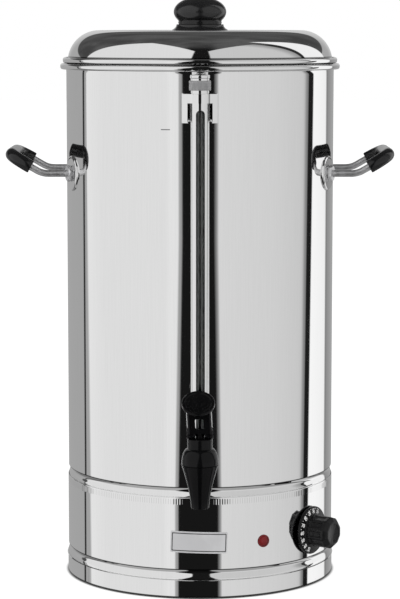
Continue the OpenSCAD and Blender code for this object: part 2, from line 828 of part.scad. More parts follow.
module gland_cap() {
    base = skirt_ro + slip + gland_flange_t + slip;
    color(BLACK) on_wall(180, gland_z) difference() {
        rotate_extrude() polygon([[0, base], [gland_r + 3, base], [gland_r + 3, base + 9],
            [gland_r + 1, base + gland_thread_l - 1], [gland_r, base + gland_thread_l],
            [0, base + gland_thread_l]]);
        translate([0, 0, base - 1]) cylinder(r = gland_r + fit, h = gland_thread_l - 2);
        translate([0, 0, base]) cylinder(r = gland_bore_d / 2 + 0.8, h = 30);
    }
}

module gland_locknut() {
    color(BLACK) on_wall(180, gland_z) translate([0, 0, skirt_ri - 6]) hex_nut(gland_af, gland_r + fit, 5);
}

module label_plate() {
    color([0.86, 0.87, 0.88]) intersection() {
        translate([0, 0, skirt_gap]) ring(skirt_ro + fit + plaque_t, skirt_ro + fit, skirt_h, $fn = wall_fn);
        on_wall(0, skirt_gap + plaque_mid_h) rotate([0, 0, -plaque_slant])
            translate([-plaque_w / 2 - 1, -plaque_h / 2, skirt_ro - 10]) cube([plaque_w, plaque_h, 20]);
    }
}

// ---- handles ----

handle_x = tank_ro + handle_reach;
knee_x = tank_ro + handle_knee;
grip_z = handle_z + (handle_x - knee_x) * tan(handle_lift);
sleeve_cut = corner_bend + sleeve_leg;

// One half of the handle's line, from inside the tank to the middle of the grip; front is -1 or 1
function arm_points(front) = [
    [(tank_ri - rod_inside) * sin(handle_az), front * (tank_ri - rod_inside) * cos(handle_az), handle_z],
    [bend_out_r * sin(handle_az), front * arm_y, handle_z],
    [knee_x, front * arm_y, handle_z],
    [handle_x, front * arm_y, grip_z]
];

module handle_rod_line() {
    front = arm_points(-1);
    back = arm_points(1);
    bent_rod([front[0], front[1], front[2], front[3], back[3], back[2], back[1], back[0]],
        rod_d / 2, [small_bend, knee_bend, corner_bend, corner_bend, knee_bend, small_bend]);
}

module sleeve_line(r) {
    slope = unit(arm_points(-1)[3] - arm_points(-1)[2]);
    front = arm_points(-1)[3];
    back = arm_points(1)[3];
    bent_rod([front - slope * sleeve_cut, front, back, back - slope * sleeve_cut],
        r, [corner_bend, corner_bend]);
}

module handle_rod_right() {
    color(STEEL) handle_rod_line();
}

module handle_rod_left() {
    color(STEEL) mirror([1, 0, 0]) handle_rod_line();
}

module handle_grip_right() {
    color(BLACK) difference() {
        sleeve_line(sleeve_d / 2);
        handle_core();
    }
}

// Room for the rod inside the sleeve, longer than the sleeve at both ends
module handle_core() {
    slope = unit(arm_points(-1)[3] - arm_points(-1)[2]);
    front = arm_points(-1)[3];
    back = arm_points(1)[3];
    bent_rod([front - slope * (sleeve_cut + 2), front, back, back - slope * (sleeve_cut + 2)],
        rod_d / 2 + slip, [corner_bend, corner_bend]);
}

module handle_grip_left() {
    color(BLACK) mirror([1, 0, 0]) difference() {
        sleeve_line(sleeve_d / 2);
        handle_core();
    }
}

module handle_plates() {
    edge = tank_ro + plate_edge_rise;
    middle = tank_ro + plate_rise;
    low = tank_ro - 3;
    color(STEEL) difference() {
        handle_azimuths() rotate_extrude() polygon([
            [rod_d / 2 + slip, middle], [plate_d / 2 - 7, middle - 0.6], [plate_d / 2, edge],
            [plate_d / 2, low], [plate_d / 2 - plate_wall, low],
            [plate_d / 2 - plate_wall, edge - plate_wall],
            [plate_d / 2 - 7, middle - 0.6 - plate_wall], [rod_d / 2 + slip, middle - plate_wall]]);
        cylinder(r = tank_ro + fit, h = rim_top, $fn = wall_fn);
    }
}

module handle_outer_nuts() {
    color(STEEL) handle_azimuths() translate([0, 0, tank_ro + plate_rise])
        hex_nut(outer_nut_af, rod_d / 2 + 0.6, handle_nut_h);
}

module handle_inner_nuts() {
    color(BRUSHED) handle_azimuths() translate([0, 0, tank_ri - seal_t - handle_nut_h])
        hex_nut(inner_nut_af, rod_d / 2 + fit, handle_nut_h);
}

module handle_seals() {
    color(RUBBER) intersection() {
        handle_azimuths() translate([0, 0, tank_ri - seal_t]) ring(seal_d / 2, rod_d / 2 + fit, seal_t + 2);
        cylinder(r = tank_ri - fit, h = rim_top, $fn = wall_fn);
    }
}

// ---- tap ----

module tap_shank() {
    tank_end = -(tank_ri - shank_inside);
    collar_back = tank_ro + shank_seal_t;
    color(STEEL) difference() {
        union() {
            translate([0, tank_end, shank_z]) rotate([90, 0, 0])
                cylinder(r = shank_r, h = tank_end - shank_front);
            on_wall(0, shank_z) translate([0, 0, collar_back])
                cylinder(d = shank_nut_af / cos(30), h = shank_collar_t, $fn = 6);
            translate([0, gauge_y, shank_z]) cylinder(r = tee_r, h = tee_top - shank_z);
        }
        translate([0, tank_end + 1, shank_z]) rotate([90, 0, 0])
            cylinder(d = shank_bore_d, h = tank_end - shank_front + 2);
        translate([0, gauge_y, shank_z]) cylinder(r = glass_r - glass_wall, h = tee_top);
        translate([0, gauge_y, tee_top - socket_h]) cylinder(r = socket_r, h = socket_h + 1);
    }
}

module shank_seals() {
    color(RUBBER) {
        difference() {
            on_wall(0, shank_z) translate([0, 0, tank_ro - 2])
                ring(shank_nut_af / 2, shank_r + slip, shank_seal_t + 2);
            cylinder(r = tank_ro + fit, h = rim_top, $fn = wall_fn);
        }
        intersection() {
            on_wall(0, shank_z) translate([0, 0, tank_ri - shank_seal_t])
                ring(shank_nut_af / 2, shank_r + slip, shank_seal_t + 2);
            cylinder(r = tank_ri - fit, h = rim_top, $fn = wall_fn);
        }
    }
}

module shank_nut() {
    color(BRUSHED) on_wall(0, shank_z) translate([0, 0, tank_ri - shank_seal_t - shank_nut_h])
        hex_nut(shank_nut_af, shank_r + fit, shank_nut_h);
}

function spout_r(t) = spout_d / 2 + (tap_d / 2 - spout_d / 2) * pow(t, 1.53);
spout_steps = 14;

module tap_body() {
    boss_back = tap_y + tap_d / 2 + 0.7;
    color(BLACK) difference() {
        union() {
            translate([0, tap_y, 0]) rotate_extrude() polygon(concat(
                [[0, outlet_z], [spout_d / 2 - 0.5, outlet_z]],
                [for (i = [0 : spout_steps]) let (t = i / spout_steps)
                    [spout_r(t), outlet_z + (i == 0 ? 0.5 : t * tap_body_h)]],
                [[0, body_top]]));
            translate([0, tap_y, body_top - 1]) cylinder(r = neck_r, h = neck_h + 1);
            intersection() {
                translate([0, boss_back, shank_z]) rotate([90, 0, 0])
                    cylinder(r = boss_r, h = boss_back - tap_y);
                translate([-50, tap_y, 0]) cube([100, 100, body_top]);
            }
        }
        translate([0, tap_y, seat_z]) cylinder(d = chamber_d, h = 60);
        translate([0, tap_y, outlet_z - 1]) cylinder(d = spout_bore_d, h = 60);
        translate([0, boss_back + 1, shank_z]) rotate([90, 0, 0])
            cylinder(r = shank_r + fit, h = boss_back + 1 - shank_front + slip);
        translate([0, boss_back, shank_z]) rotate([90, 0, 0])
            cylinder(d = shank_bore_d, h = boss_back - tap_y);
    }
}

dome_steps = 12;

module tap_bonnet() {
    collar_r = bonnet_collar_d / 2;
    color(BLACK) translate([0, tap_y, 0]) difference() {
        rotate_extrude() polygon(concat(
            [[0, bonnet_foot]],
            [for (i = [0 : dome_steps]) let (a = 90 * i / dome_steps)
                [collar_r + (tap_d / 2 - collar_r) * cos(a), bonnet_foot + bonnet_dome_h * sin(a)]],
            [[collar_r, bonnet_top - 1], [collar_r - 1, bonnet_top], [0, bonnet_top]]));
        translate([0, 0, bonnet_foot - 1]) cylinder(r = neck_r + fit, h = bonnet_roof - bonnet_foot + 1);
        translate([0, 0, bonnet_foot]) cylinder(r = stem_r + 4.5, h = spring_top - bonnet_foot);
        cylinder(r = stem_r + fit, h = bonnet_top + 1);
    }
}

module valve_stem() {
    color(BLACK) difference() {
        translate([0, tap_y, 0]) {
            translate([0, 0, seat_z + 4]) cylinder(r = stem_r, h = stem_top - seat_z - 4);
            translate([0, 0, spring_seat_z]) cylinder(r = stem_r + 4, h = spring_seat_t);
        }
        translate([-10, tap_y, pin_z]) rotate([0, 90, 0]) cylinder(r = lever_pin_d / 2 + fit, h = 20);
    }
}

module seat_cup() {
    color(RUBBER) translate([0, tap_y, 0]) difference() {
        translate([0, 0, seat_z + slip]) cylinder(r = spout_bore_d / 2 + 2, h = cup_h);
        translate([0, 0, seat_z + 4]) cylinder(r = stem_r + fit, h = cup_h);
    }
}

// Helical spring swept as a round wire
module valve_spring() {
    coil_r = stem_r + 2.4;
    wire_r = 0.7;
    turns = 6;
    per_turn = 12;
    sides = 8;
    low = spring_seat_z + spring_seat_t + wire_r + slip;
    high = spring_top - wire_r - slip;
    rings = turns * per_turn;
    pts = [for (i = [0 : rings], j = [0 : sides - 1])
        let (a = 360 * i / per_turn, b = 360 * j / sides, r = coil_r + wire_r * cos(b))
        [r * cos(a), r * sin(a), low + (high - low) * i / rings + wire_r * sin(b)]];
    walls = [for (i = [0 : rings - 1], j = [0 : sides - 1])
        [i * sides + j, i * sides + (j + 1) % sides,
        (i + 1) * sides + (j + 1) % sides, (i + 1) * sides + j]];
    caps = [[for (j = [0 : sides - 1]) sides - 1 - j], [for (j = [0 : sides - 1]) rings * sides + j]];
    color(STEEL) translate([0, tap_y, 0]) polyhedron(pts, concat(walls, caps), convexity = 6);
}

// ---- lever ----

// Children are drawn in the lever's side view: first axis back, second axis up, from the pin
module lever_side(x, thickness) {
    translate([x, tap_y, pin_z]) rotate([90, 0, 90]) linear_extrude(thickness) children();
}

module heel_outline() {
    circle(heel_r);
    translate([-heel_lobe, 0]) circle(heel_r);
    translate([-heel_lobe, -heel_r]) square([heel_lobe, 2 * heel_r]);
}

module cheek_outline() {
    pad_cos = cos(pad_tilt);
    pad_sin = sin(pad_tilt);
    back_y = -pad_reach + pad_t * 0.6 * pad_cos;
    back_z = pad_rise - pad_t * 0.6 * pad_sin;
    polygon([
        [-web_front, 0], [-web_front, back_z + (-web_front - back_y) * pad_cos / pad_sin],
        [cheek_back, back_z + (cheek_back - back_y) * pad_cos / pad_sin], [cheek_back, 0]]);
}

module tap_lever() {
    half = lever_w / 2;
    color(BLACK) difference() {
        union() {
            lever_side(-half, lever_w) heel_outline();
            difference() {
                lever_side(-half, lever_w) cheek_outline();
                translate([-half + cheek_t, tap_y - web_front + web_t, pin_z - 1])
                    cube([lever_w - 2 * cheek_t, 40, pad_rise + 30]);
                translate([-half + cheek_t, tap_y - web_front - 1, pin_z - 1])
                    cube([lever_w - 2 * cheek_t, 40, web_low + 1]);
                translate([-window_w / 2, tap_y - web_front - 1, pin_z + window_low])
                    cube([window_w, 40, window_h]);
            }
            pad_disc();
        }
        translate([-slot_gap, tap_y - web_front + web_t, pin_z - heel_r - 1])
            cube([2 * slot_gap, 30, 2 * heel_r + 2]);
        translate([-half - 1, tap_y, pin_z]) rotate([0, 90, 0])
            cylinder(r = lever_pin_d / 2 + fit, h = lever_w + 2);
    }
}

module pad_disc() {
    pad_r = pad_d / 2;
    translate([0, tap_y - pad_reach, pin_z + pad_rise]) rotate([90 - pad_tilt, 0, 0])
        rotate_extrude() polygon([
            [0, -pad_t], [pad_r - 1.2, -pad_t], [pad_r, -pad_t + 1.2], [pad_r, -0.8],
            [pad_r - 0.8, 0], [pad_r - 3, 0], [pad_r - 3.5, -0.8], [0, -0.8]]);
}

module lever_pin() {
    color(STEEL) translate([-lever_w / 2 + 0.4, tap_y, pin_z]) rotate([0, 90, 0])
        cylinder(d = lever_pin_d, h = lever_w - 0.8);
}

// ---- sight gauge ----

module gauge_glass() {
    low = tee_top - socket_h + slip;
    color([0.8, 0.9, 0.95, 0.5]) translate([0, gauge_y, low])
        ring(glass_r, glass_r - glass_wall, guard_top + 6 - low);
}

module gauge_guard() {
    color(STEEL) translate([0, gauge_y, 0]) difference() {
        translate([0, 0, tee_top]) ring(guard_r, guard_r - guard_wall, guard_top - tee_top);
        translate([-slot_w / 2, -guard_r - 1, slot_bottom])
            cube([slot_w, guard_r, guard_top - slot_drop - slot_w / 2 - slot_bottom]);
        translate([0, -1, guard_top - slot_drop - slot_w / 2]) rotate([90, 0, 0])
            cylinder(d = slot_w, h = guard_r);
    }
}

module gauge_cap() {
    neck = guard_top;
    band = neck + gauge_neck_h;
    head = band + gauge_band_h;
    top = head + gauge_head_h;
    color(STEEL) translate([0, gauge_y, 0]) difference() {
        union() {
            translate([0, 0, neck - spigot_h])
                cylinder(r = guard_r - guard_wall - fit, h = spigot_h + 1);
            rotate_extrude() polygon([
                [0, neck], [guard_r - 0.2, neck], [guard_r - 0.2, band],
                [gauge_band_d / 2 - 0.5, band], [gauge_band_d / 2, band + 0.5],
                [gauge_band_d / 2, head - 0.5], [gauge_band_d / 2 - 0.5, head],
                [gauge_head_d / 2, head], [gauge_head_d / 2, top - 0.8],
                [gauge_head_d / 2 - 0.8, top], [0, top]]);
        }
        translate([0, 0, neck - spigot_h - 1]) cylinder(r = glass_r + slip, h = spigot_h + 8);
        translate([0, 0, neck - spigot_h - 1]) cylinder(r = glass_r + 1.4, h = seal_h + 1);
        cylinder(r = 1, h = top + 1);
    }
}

module gauge_seals() {
    color(RUBBER) translate([0, gauge_y, 0]) {
        translate([0, 0, tee_top - socket_h + slip])
            ring(socket_r - fit, glass_r + fit, socket_h - 1);
        translate([0, 0, guard_top - spigot_h + slip])
            ring(glass_r + 1.4 - fit, glass_r + fit, seal_h - 0.4);
    }
}

module gauge_bracket() {
    half = bracket_w / 2;
    band_low = guard_top - bracket_band_h;
    legs_low = guard_top - bracket_h;
    color(STEEL) difference() {
        union() {
            translate([0, gauge_y, band_low])
                cylinder(r = guard_r + fit + collar_t, h = bracket_band_h);
            translate([-half, gauge_y - bracket_t / 2, band_low])
                cube([bracket_w, bracket_t, bracket_band_h]);
            for (side = [0, 1]) mirror([side, 0, 0]) {
                translate([half - bracket_leg_w, gauge_y - bracket_t / 2, legs_low])
                    cube([bracket_leg_w, bracket_t, bracket_h]);
                translate([half - bracket_t, gauge_y, legs_low])
                    cube([bracket_t, gauge_standoff + 4, bracket_h]);
            }
        }
        translate([0, gauge_y, band_low - 1]) cylinder(r = guard_r + fit, h = bracket_h);
        cylinder(r = tank_ro + fit, h = rim_top, $fn = wall_fn);
    }
}

// ---- lid ----

module lid_shell() {
    color(STEEL) difference() {
        rotate_extrude() {
            difference() {
                intersection() {
                    translate([shoulder_r, shoulder_z]) circle(lid_shoulder_r);
                    translate([shoulder_r, lid_edge_z]) square(lid_shoulder_r + 5);
                }
                translate([shoulder_r, shoulder_z]) circle(lid_shoulder_r - lid_wall);
            }
            translate([0, lid_top - lid_wall]) square([shoulder_r, lid_wall]);
            translate([lid_edge_r, lid_edge_z]) curl_section(lid_curl_r, lid_wall, false);
        }
        translate([0, 0, lid_top - 5]) cylinder(r = knob_screw_d / 2 + bolt_gap, h = 10);
    }
}

module lid_locating_ring() {
    outer = tank_ri - lid_ring_gap;
    low = rim_top - lid_ring_depth;
    color(BRUSHED) translate([0, 0, low]) ring(outer, outer - ring_wall, lid_edge_z + 1 - low);
}

module knob_collar() {
    color(BLACK) difference() {
        rotate_extrude() polygon(concat(
            [[0, lid_top]],
            [for (i = [0 : 6]) let (t = i / 6)
                [collar_top_d / 2 + (collar_d - collar_top_d) / 2 * pow(1 - t, 2.2),
                lid_top + t * collar_h]],
            [[0, collar_top]]));
        translate([0, 0, lid_top - 1]) cylinder(r = knob_screw_d / 2 + bolt_gap, h = collar_h + 2);
    }
}

knob_steps = 20;

module lid_knob() {
    belt_r = knob_d / 2;
    neck_top = collar_top + knob_neck_h;
    start = asin((neck_top - knob_belt_z) / knob_crown_h);
    color(BLACK) difference() {
        rotate_extrude() polygon(concat(
            [[0, collar_top], [knob_neck_d / 2, collar_top], [knob_neck_d / 2, neck_top]],
            [for (i = [1 : knob_steps]) let (a = start + (90 - start) * i / knob_steps)
                [belt_r * cos(a), knob_belt_z + knob_crown_h * sin(a)]]));
        translate([0, 0, collar_top - 1]) cylinder(r = knob_screw_d / 2 + fit, h = knob_screw_engage + 1);
    }
}

washer_t = 1.5;

module knob_screw() {
    head_top = lid_top - lid_wall - washer_t;
    color(BRUSHED) {
        translate([0, 0, head_top - 4]) cylinder(r = knob_screw_d, h = 4);
        translate([0, 0, head_top - 1])
            cylinder(r = knob_screw_d / 2, h = collar_top + knob_screw_engage - 1 - head_top);
    }
}

module knob_washer() {
    color(BRUSHED) translate([0, 0, lid_top - lid_wall - washer_t])
        ring(9, knob_screw_d / 2 + slip, washer_t);
}

// ---- thermostat knob ----

module thermostat_shaft() {
    color(BRUSHED) on_wall(dial_az, dial_z) translate([0, 0, thermostat_face - shaft_depth + air])
        cylinder(d = shaft_d, h = skirt_ro + grip_reach - 8 - thermostat_face + shaft_depth - air);
}

module thermostat_knob() {
    dial_low = skirt_ro + dial_gap;
    grip_end = skirt_ro + grip_reach;
    lobes = 10;
    color(BLACK) on_wall(dial_az, dial_z) difference() {
        union() {
            rotate_extrude() polygon([
                [0, dial_low], [dial_d / 2, dial_low], [dial_d / 2, dial_low + dial_t - 0.8],
                [dial_d / 2 - 1, dial_low + dial_t], [grip_d / 2 + 1, dial_low + dial_t + 0.8],
                [0, dial_low + dial_t + 0.8]]);
            intersection() {
                translate([0, 0, dial_low + 1])
                    cylinder(d = grip_d, h = grip_end - dial_low - 1, $fn = lobes);
                rotate_extrude() polygon([
                    [0, dial_low], [grip_d / 2 + 1, dial_low], [grip_d / 2 + 1, grip_end - 4],
                    [grip_d / 2 - 3.5, grip_end], [0, grip_end]]);
            }
        }
        for (i = [0 : lobes - 1]) rotate([0, 0, (i + 0.5) * 360 / lobes])
            translate([grip_d / 2 + 1.4, 0, dial_low + dial_t + 3])
                cylinder(r = 3.4, h = grip_end - dial_low - dial_t - 10);
        translate([0, 0, dial_low - 1]) cylinder(d = shaft_d + 2 * fit, h = grip_reach - 8 - dial_gap + 1.3);
        translate([0, 0, dial_low - 1]) ring(dial_d / 2 - 2, grip_d / 2 - 3, 2.2);
    }
}

tank_shell();
tank_floor();
base_skirt();
bottom_cover();
cover_posts();
cover_screws();
rubber_feet();
heat_spreader();
heating_element();
element_clamp();
clamp_nut();
earth_stud();
thermostat_body();
thermostat_screws();
thermostat_capillary();
bulb_clip();
pilot_lens();
pilot_housing();
pilot_spring_nut();
cutout_body();
cutout_nut();
terminal_block();
terminal_screws();
internal_leads();
cord_gland();
gland_cap();
gland_locknut();
label_plate();
handle_rod_left();
handle_rod_right();
handle_grip_left();
handle_grip_right();
handle_plates();
handle_outer_nuts();
handle_inner_nuts();
handle_seals();
tap_shank();
shank_seals();
shank_nut();
tap_body();
tap_bonnet();
valve_stem();
seat_cup();
valve_spring();
tap_lever();
lever_pin();
gauge_glass();
gauge_guard();
gauge_cap();
gauge_seals();
gauge_bracket();
lid_shell();
lid_locating_ring();
lid_knob();
knob_collar();
knob_screw();
knob_washer();
thermostat_knob();
thermostat_shaft();
reset_button();
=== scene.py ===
"""Looks of the hot water urn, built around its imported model.

The frame is the model's: metres, +Z up from the surface, tap towards -Y. Pieces are drawn in
millimetres and scaled when their mesh is made. An azimuth counts from -Y towards +X.
A solid is a pair of lists, its points and its faces. An outline is a list of (radius, height).
"""
import json
from functools import partialmethod
from math import acos, asin, cos, degrees, dist, pi, radians, sin, sqrt, tan

import bmesh
import bpy
from mathutils import Matrix, Vector


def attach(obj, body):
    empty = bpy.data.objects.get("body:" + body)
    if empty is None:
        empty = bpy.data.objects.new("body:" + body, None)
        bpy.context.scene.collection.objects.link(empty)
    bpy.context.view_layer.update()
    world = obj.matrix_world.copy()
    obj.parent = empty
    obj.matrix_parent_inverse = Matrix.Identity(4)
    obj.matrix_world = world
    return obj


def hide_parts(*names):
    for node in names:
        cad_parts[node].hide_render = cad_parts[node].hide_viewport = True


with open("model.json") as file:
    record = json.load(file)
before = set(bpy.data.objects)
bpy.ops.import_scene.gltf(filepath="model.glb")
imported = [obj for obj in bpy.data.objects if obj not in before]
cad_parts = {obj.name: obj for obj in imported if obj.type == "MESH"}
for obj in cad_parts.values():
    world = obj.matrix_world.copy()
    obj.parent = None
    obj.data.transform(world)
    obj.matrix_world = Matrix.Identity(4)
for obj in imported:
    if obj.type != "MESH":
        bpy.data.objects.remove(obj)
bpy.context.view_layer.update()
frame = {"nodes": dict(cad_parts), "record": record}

MM = 0.001
TAU = 2 * pi

# Sizes in millimetres, as in the part's source
TANK_R, WALL = 135.0, 0.8
SKIRT_R = 135.6
SKIRT_LOW, SKIRT_TOP = 1.5, 100.5
RIM_TOP = 519.5
LID_EDGE_Z, LID_EDGE_R, LID_TOP = 522.7, 135.5, 552.5
SHOULDER_R, SHOULDER_Z, SHOULDER_BEND = 101.95, 521.0, 31.5
CURL_R = 2.9
TAP_Y, GAUGE_Y = -179.0, -150.0
SHANK_Z, OUTLET_Z, BODY_TOP = 131.0, 100.0, 142.0
BONNET_FOOT, BONNET_TOP, PIN_Z = 142.3, 167.8, 173.6
TEE_TOP, SLOT_LOW, GUARD_TOP = 152.0, 168.0, 493.2
HANDLE_AZ, HANDLE_Z, ARM_Y = 70.5, 411.0, 47.735
KNEE_X, HANDLE_X, GRIP_Z = 157.0, 188.3, 429.07
DIAL_AZ, DIAL_Z = 54.0, 56.5
LAMP_AZ, LAMP_Z = 27.4, 54.4
GLAND_AZ, GLAND_Z = 180.0, 44.5
RESET_AZ, RESET_Z = 155.0, 51.5
PLATE_Z = 56.1

# Sizes that only the looks have
BEAD_LIP, BEAD_DEEP, BEAD_END = 110.3, 107.2, 101.6
FOOT_LIP, FOOT_DEEP, FOOT_END = 28.8, 26.0, 20.4
RIM_FLARE = 0.25
ROD_R, SLEEVE_R = 3.4, 6.68
LEAN = 0.055          # sideways lean of the lever, as it hangs on its pin

STEEL = 0.90          # reflectance of the polished steel
# The studio round the urn: azimuth and level of what the steel mirrors near the horizon
STUDIO = [
    (-180, 160), (-120.7, 160), (-120.2, 22), (-117.3, 22), (-116.8, 160), (-113.6, 160),
    (-111.2, 226), (-90, 220), (-30, 220), (-26, 226), (-19.1, 224), (-18.4, 157), (-16.8, 152),
    (-16.1, 22), (13.7, 22), (14.4, 147), (16.1, 150), (16.8, 211), (65, 206), (95, 198), (98, 192),
    (101, 135), (102.6, 135), (103.2, 28), (110.2, 28), (111.0, 246), (130, 240), (138, 236),
    (140, 116), (144, 140), (160, 158), (180, 160)]
# Panels above the horizon. Each edge is a plane: parts of x, front and z, and its distance
LEFT_PANEL = [(-0.934, -0.245, 0.358, 0), (-0.9874, -0.148, 0.0557, 0),
              (-0.8424, 0.3328, -0.4237, 0), (-0.4628, 0.8429, -0.2746, 0)]
RIGHT_PANEL = [(0.945, -0.2287, 0.227, 0), (0.9864, -0.1638, 0.0153, 0),
               (0.7815, 0.3699, -0.5024, 0), (0.2341, 0.9447, -0.2296, 0.02)]
DARK_LINE = [(0.2643, 0.9574, -0.1166, 0), (-0.2341, -0.9447, 0.2296, -0.02)]
FAR_PANEL = [(-0.2643, -0.9574, 0.1166, 0), (0.719, 0.611, -0.3313, 0)]
PANEL_EDGE = 0.012    # half the softness of a panel's edge
# Display levels of the panels, the dark above them, the gap overhead and the floor
LEFT, RIGHT_NEAR, RIGHT_FAR, FAR, LINE = 218, 152, 196, 238, 45
DARK, DARK_SPREAD, GAP, BEHIND, BEHIND_FAR = 76, 12, 22, 163, 196
FLOOR_LIGHT, FULL_LIGHT = 165, 220
MATT_LIGHT = 0.92                     # the world as matt surfaces see it
FLOOR_WHITE, FLOOR_SEEN = 0.9, 0.26   # the floor's reflectance, for light and for the camera
# The floor's glow fades to nothing inside this ring round the urn: a painted contact shadow
FLOOR_GLOW, CONTACT_SHADOW_EDGE = 0.84, (0.1355, 0.1395)


# ---- node trees ----

class Term:
    """A value in a node tree. Arithmetic on it adds Math nodes."""

    def __init__(self, tree, socket):
        self.tree, self.socket = tree, socket

    def math(self, operation, *others):
        return node(self.tree, "Math", self, *others, operation=operation)

    __add__ = partialmethod(math, "ADD")
    __sub__ = partialmethod(math, "SUBTRACT")
    __mul__ = partialmethod(math, "MULTIPLY")
    __truediv__ = partialmethod(math, "DIVIDE")

    def between(self, low, high):
        return self.math("MINIMUM", high).math("MAXIMUM", low)

    def ramp(self, low, high, start=0.0, end=1.0, kind="SMOOTHSTEP"):
        """start below low, end above high, and between them in between"""
        return node(self.tree, "MapRange", self, low, high, start, end, interpolation_type=kind)

    def mix(self, a, b):
        """a where this is 0, b where it is 1"""
        return node(self.tree, "Mix", self, None, a, b)

    def colours(self, a, b):
        return node(self.tree, "Mix", self, *[None] * 5, (*a, 1), (*b, 1), data_type="RGBA",
                    out=2)

    def dimmed(self, share):
        """This colour times a share"""
        return node(self.tree, "VectorMath", self, Scale=share, operation="SCALE")


def plug(tree, slot, value):
    if isinstance(value, Term):
        tree.links.new(value.socket, slot)
    elif value is not None:
        slot.default_value = value


def node(tree, kind, *values, out=0, **named):
    """Adds a shader node and gives its output.

    values fill its inputs in order, capitalised names are inputs, the others settings."""
    made = tree.nodes.new("ShaderNode" + kind)
    for name in filter(str.islower, named):
        setattr(made, name, named[name])
    for slot, value in zip(made.inputs, values):
        plug(tree, slot, value)
    for name in named:
        if not name.islower():
            plug(tree, made.inputs[name], named[name])
    return Term(tree, made.outputs[out]) if made.outputs else made


def axes_of(place):
    made = place.tree.nodes.new("ShaderNodeSeparateXYZ")
    plug(place.tree, made.inputs[0], place)
    return [Term(place.tree, out) for out in made.outputs]


def vector_of(x, y, z):
    return node(x.tree, "CombineXYZ", x, y, z)


def light_path(tree, *kinds):
    """1 for rays of any of these kinds"""
    total, *others = [node(tree, "LightPath", out="Is %s Ray" % kind) for kind in kinds]
    for other in others:
        total = total.math("MAXIMUM", other)
    return total


def linear(level):
    """Linear value of a display level from 0 to 255"""
    level /= 255
    return level / 12.92 if level <= 0.04045 else ((level + 0.055) / 1.055) ** 2.4


def shown(level):
    """What the steel has to mirror to show a display level"""
    return linear(level) / STEEL


# ---- camera, studio, floor ----

def add(thing):
    bpy.context.collection.objects.link(thing)
    return thing


def make_camera():
    data = bpy.data.cameras.new("camera")
    data.lens, data.sensor_width = 136.70, 36.0
    camera = add(bpy.data.objects.new("camera", data))
    camera.location = (0, -2.3115, 0.5613)
    camera.rotation_euler = (radians(83.031), 0, 0)
    bpy.context.scene.camera = camera
    bpy.context.scene.view_settings.view_transform = "Standard"


def horizon_level(azimuth, height, left):
    """Level of the studio by azimuth, spread out a little below the horizon"""
    off_axis = azimuth.math("ABSOLUTE")
    near = height.between(-12.0, -5.5) * 0.011 + 1.0836
    far = height.between(-22.0, 0.0) * 0.0105 + 1.08
    spread = off_axis.math("GREATER_THAN", 45.0).mix(near, far)
    middle = left.mix(60.0, -66.0)
    turned_by = (azimuth - middle) / spread + middle
    place = off_axis.math("LESS_THAN", 114.0).mix(azimuth, turned_by)
    made = place.tree.nodes.new("ShaderNodeValToRGB")
    plug(place.tree, made.inputs[0], (place + 180.0) / 360.0)
    stops = made.color_ramp.elements
    while len(stops) < len(STUDIO):
        stops.new(0.5)
    for stop, (azimuth_at, level) in zip(stops, STUDIO):
        stop.position = (azimuth_at + 180) / 360
        stop.color = (*[shown(level)] * 3, 1)
    return Term(place.tree, made.outputs[0])


def studio_level(x, y, z):
    """Level of the studio in direction x, y, z, over the steel's own reflectance"""
    front = y * -1.0
    azimuth = x.math("ARCTAN2", front) * (180 / pi)
    height = z.math("ARCSINE") * (180 / pi)
    off_axis = azimuth.math("ABSOLUTE")

    def panel(half, edges, *limits):
        for a, b, c, at in edges:
            half = half * (x * a + front * b + z * c).ramp(at - PANEL_EDGE, at + PANEL_EDGE)
        for limit in limits:
            half = half * limit
        return half

    dark = node(x.tree, "TexNoise", Scale=2.6, Vector=vector_of(x, y, z)).ramp(
        0.3, 0.7, shown(DARK - DARK_SPREAD), shown(DARK + DARK_SPREAD))
    left = x.math("LESS_THAN", 0.0)
    right = left * -1.0 + 1.0
    ceiling = height.ramp(48.0, 78.0).mix(shown(GAP), dark)
    level = off_axis.ramp(9.0, 26.0).mix(ceiling, dark)
    behind = (x.math("ABSOLUTE") * -0.135 + front * -0.43 + z * -0.89).ramp(0.03, 0.06)
    level = behind.mix(level, off_axis.ramp(150.0, 176.0, shown(BEHIND), shown(BEHIND_FAR)))
    level = panel(left, LEFT_PANEL).mix(level, shown(LEFT))
    shade = (x * 0.2341 + front * 0.9447 + z * -0.2296).ramp(
        0.03, 0.24, shown(RIGHT_NEAR), shown(RIGHT_FAR))
    level = panel(right, RIGHT_PANEL).mix(level, shade)
    level = panel(right, FAR_PANEL).mix(level, shown(FAR))
    level = panel(right, DARK_LINE, height.ramp(54.0, 50.0)).mix(level, shown(LINE))
    level = height.ramp(-1.0, 3.0).mix(horizon_level(azimuth, height, left), level)
    return level * height.ramp(-14.0, -26.0, 1.0, linear(FLOOR_LIGHT) / linear(FULL_LIGHT))


def make_world():
    """White to the camera, an even pale light on matt surfaces, the studio in steel and glass"""
    world = bpy.data.worlds.new("studio")
    bpy.context.scene.world = world
    world.use_nodes = True
    tree = world.node_tree
    tree.nodes.clear()
    seen_in_steel = studio_level(*axes_of(node(tree, "TexCoord", out="Generated")))
    level = light_path(tree, "Glossy", "Transmission").mix(MATT_LIGHT, seen_in_steel)
    level = light_path(tree, "Camera").mix(level, 1.0)
    node(tree, "OutputWorld", node(tree, "Background", vector_of(level, level, level)))


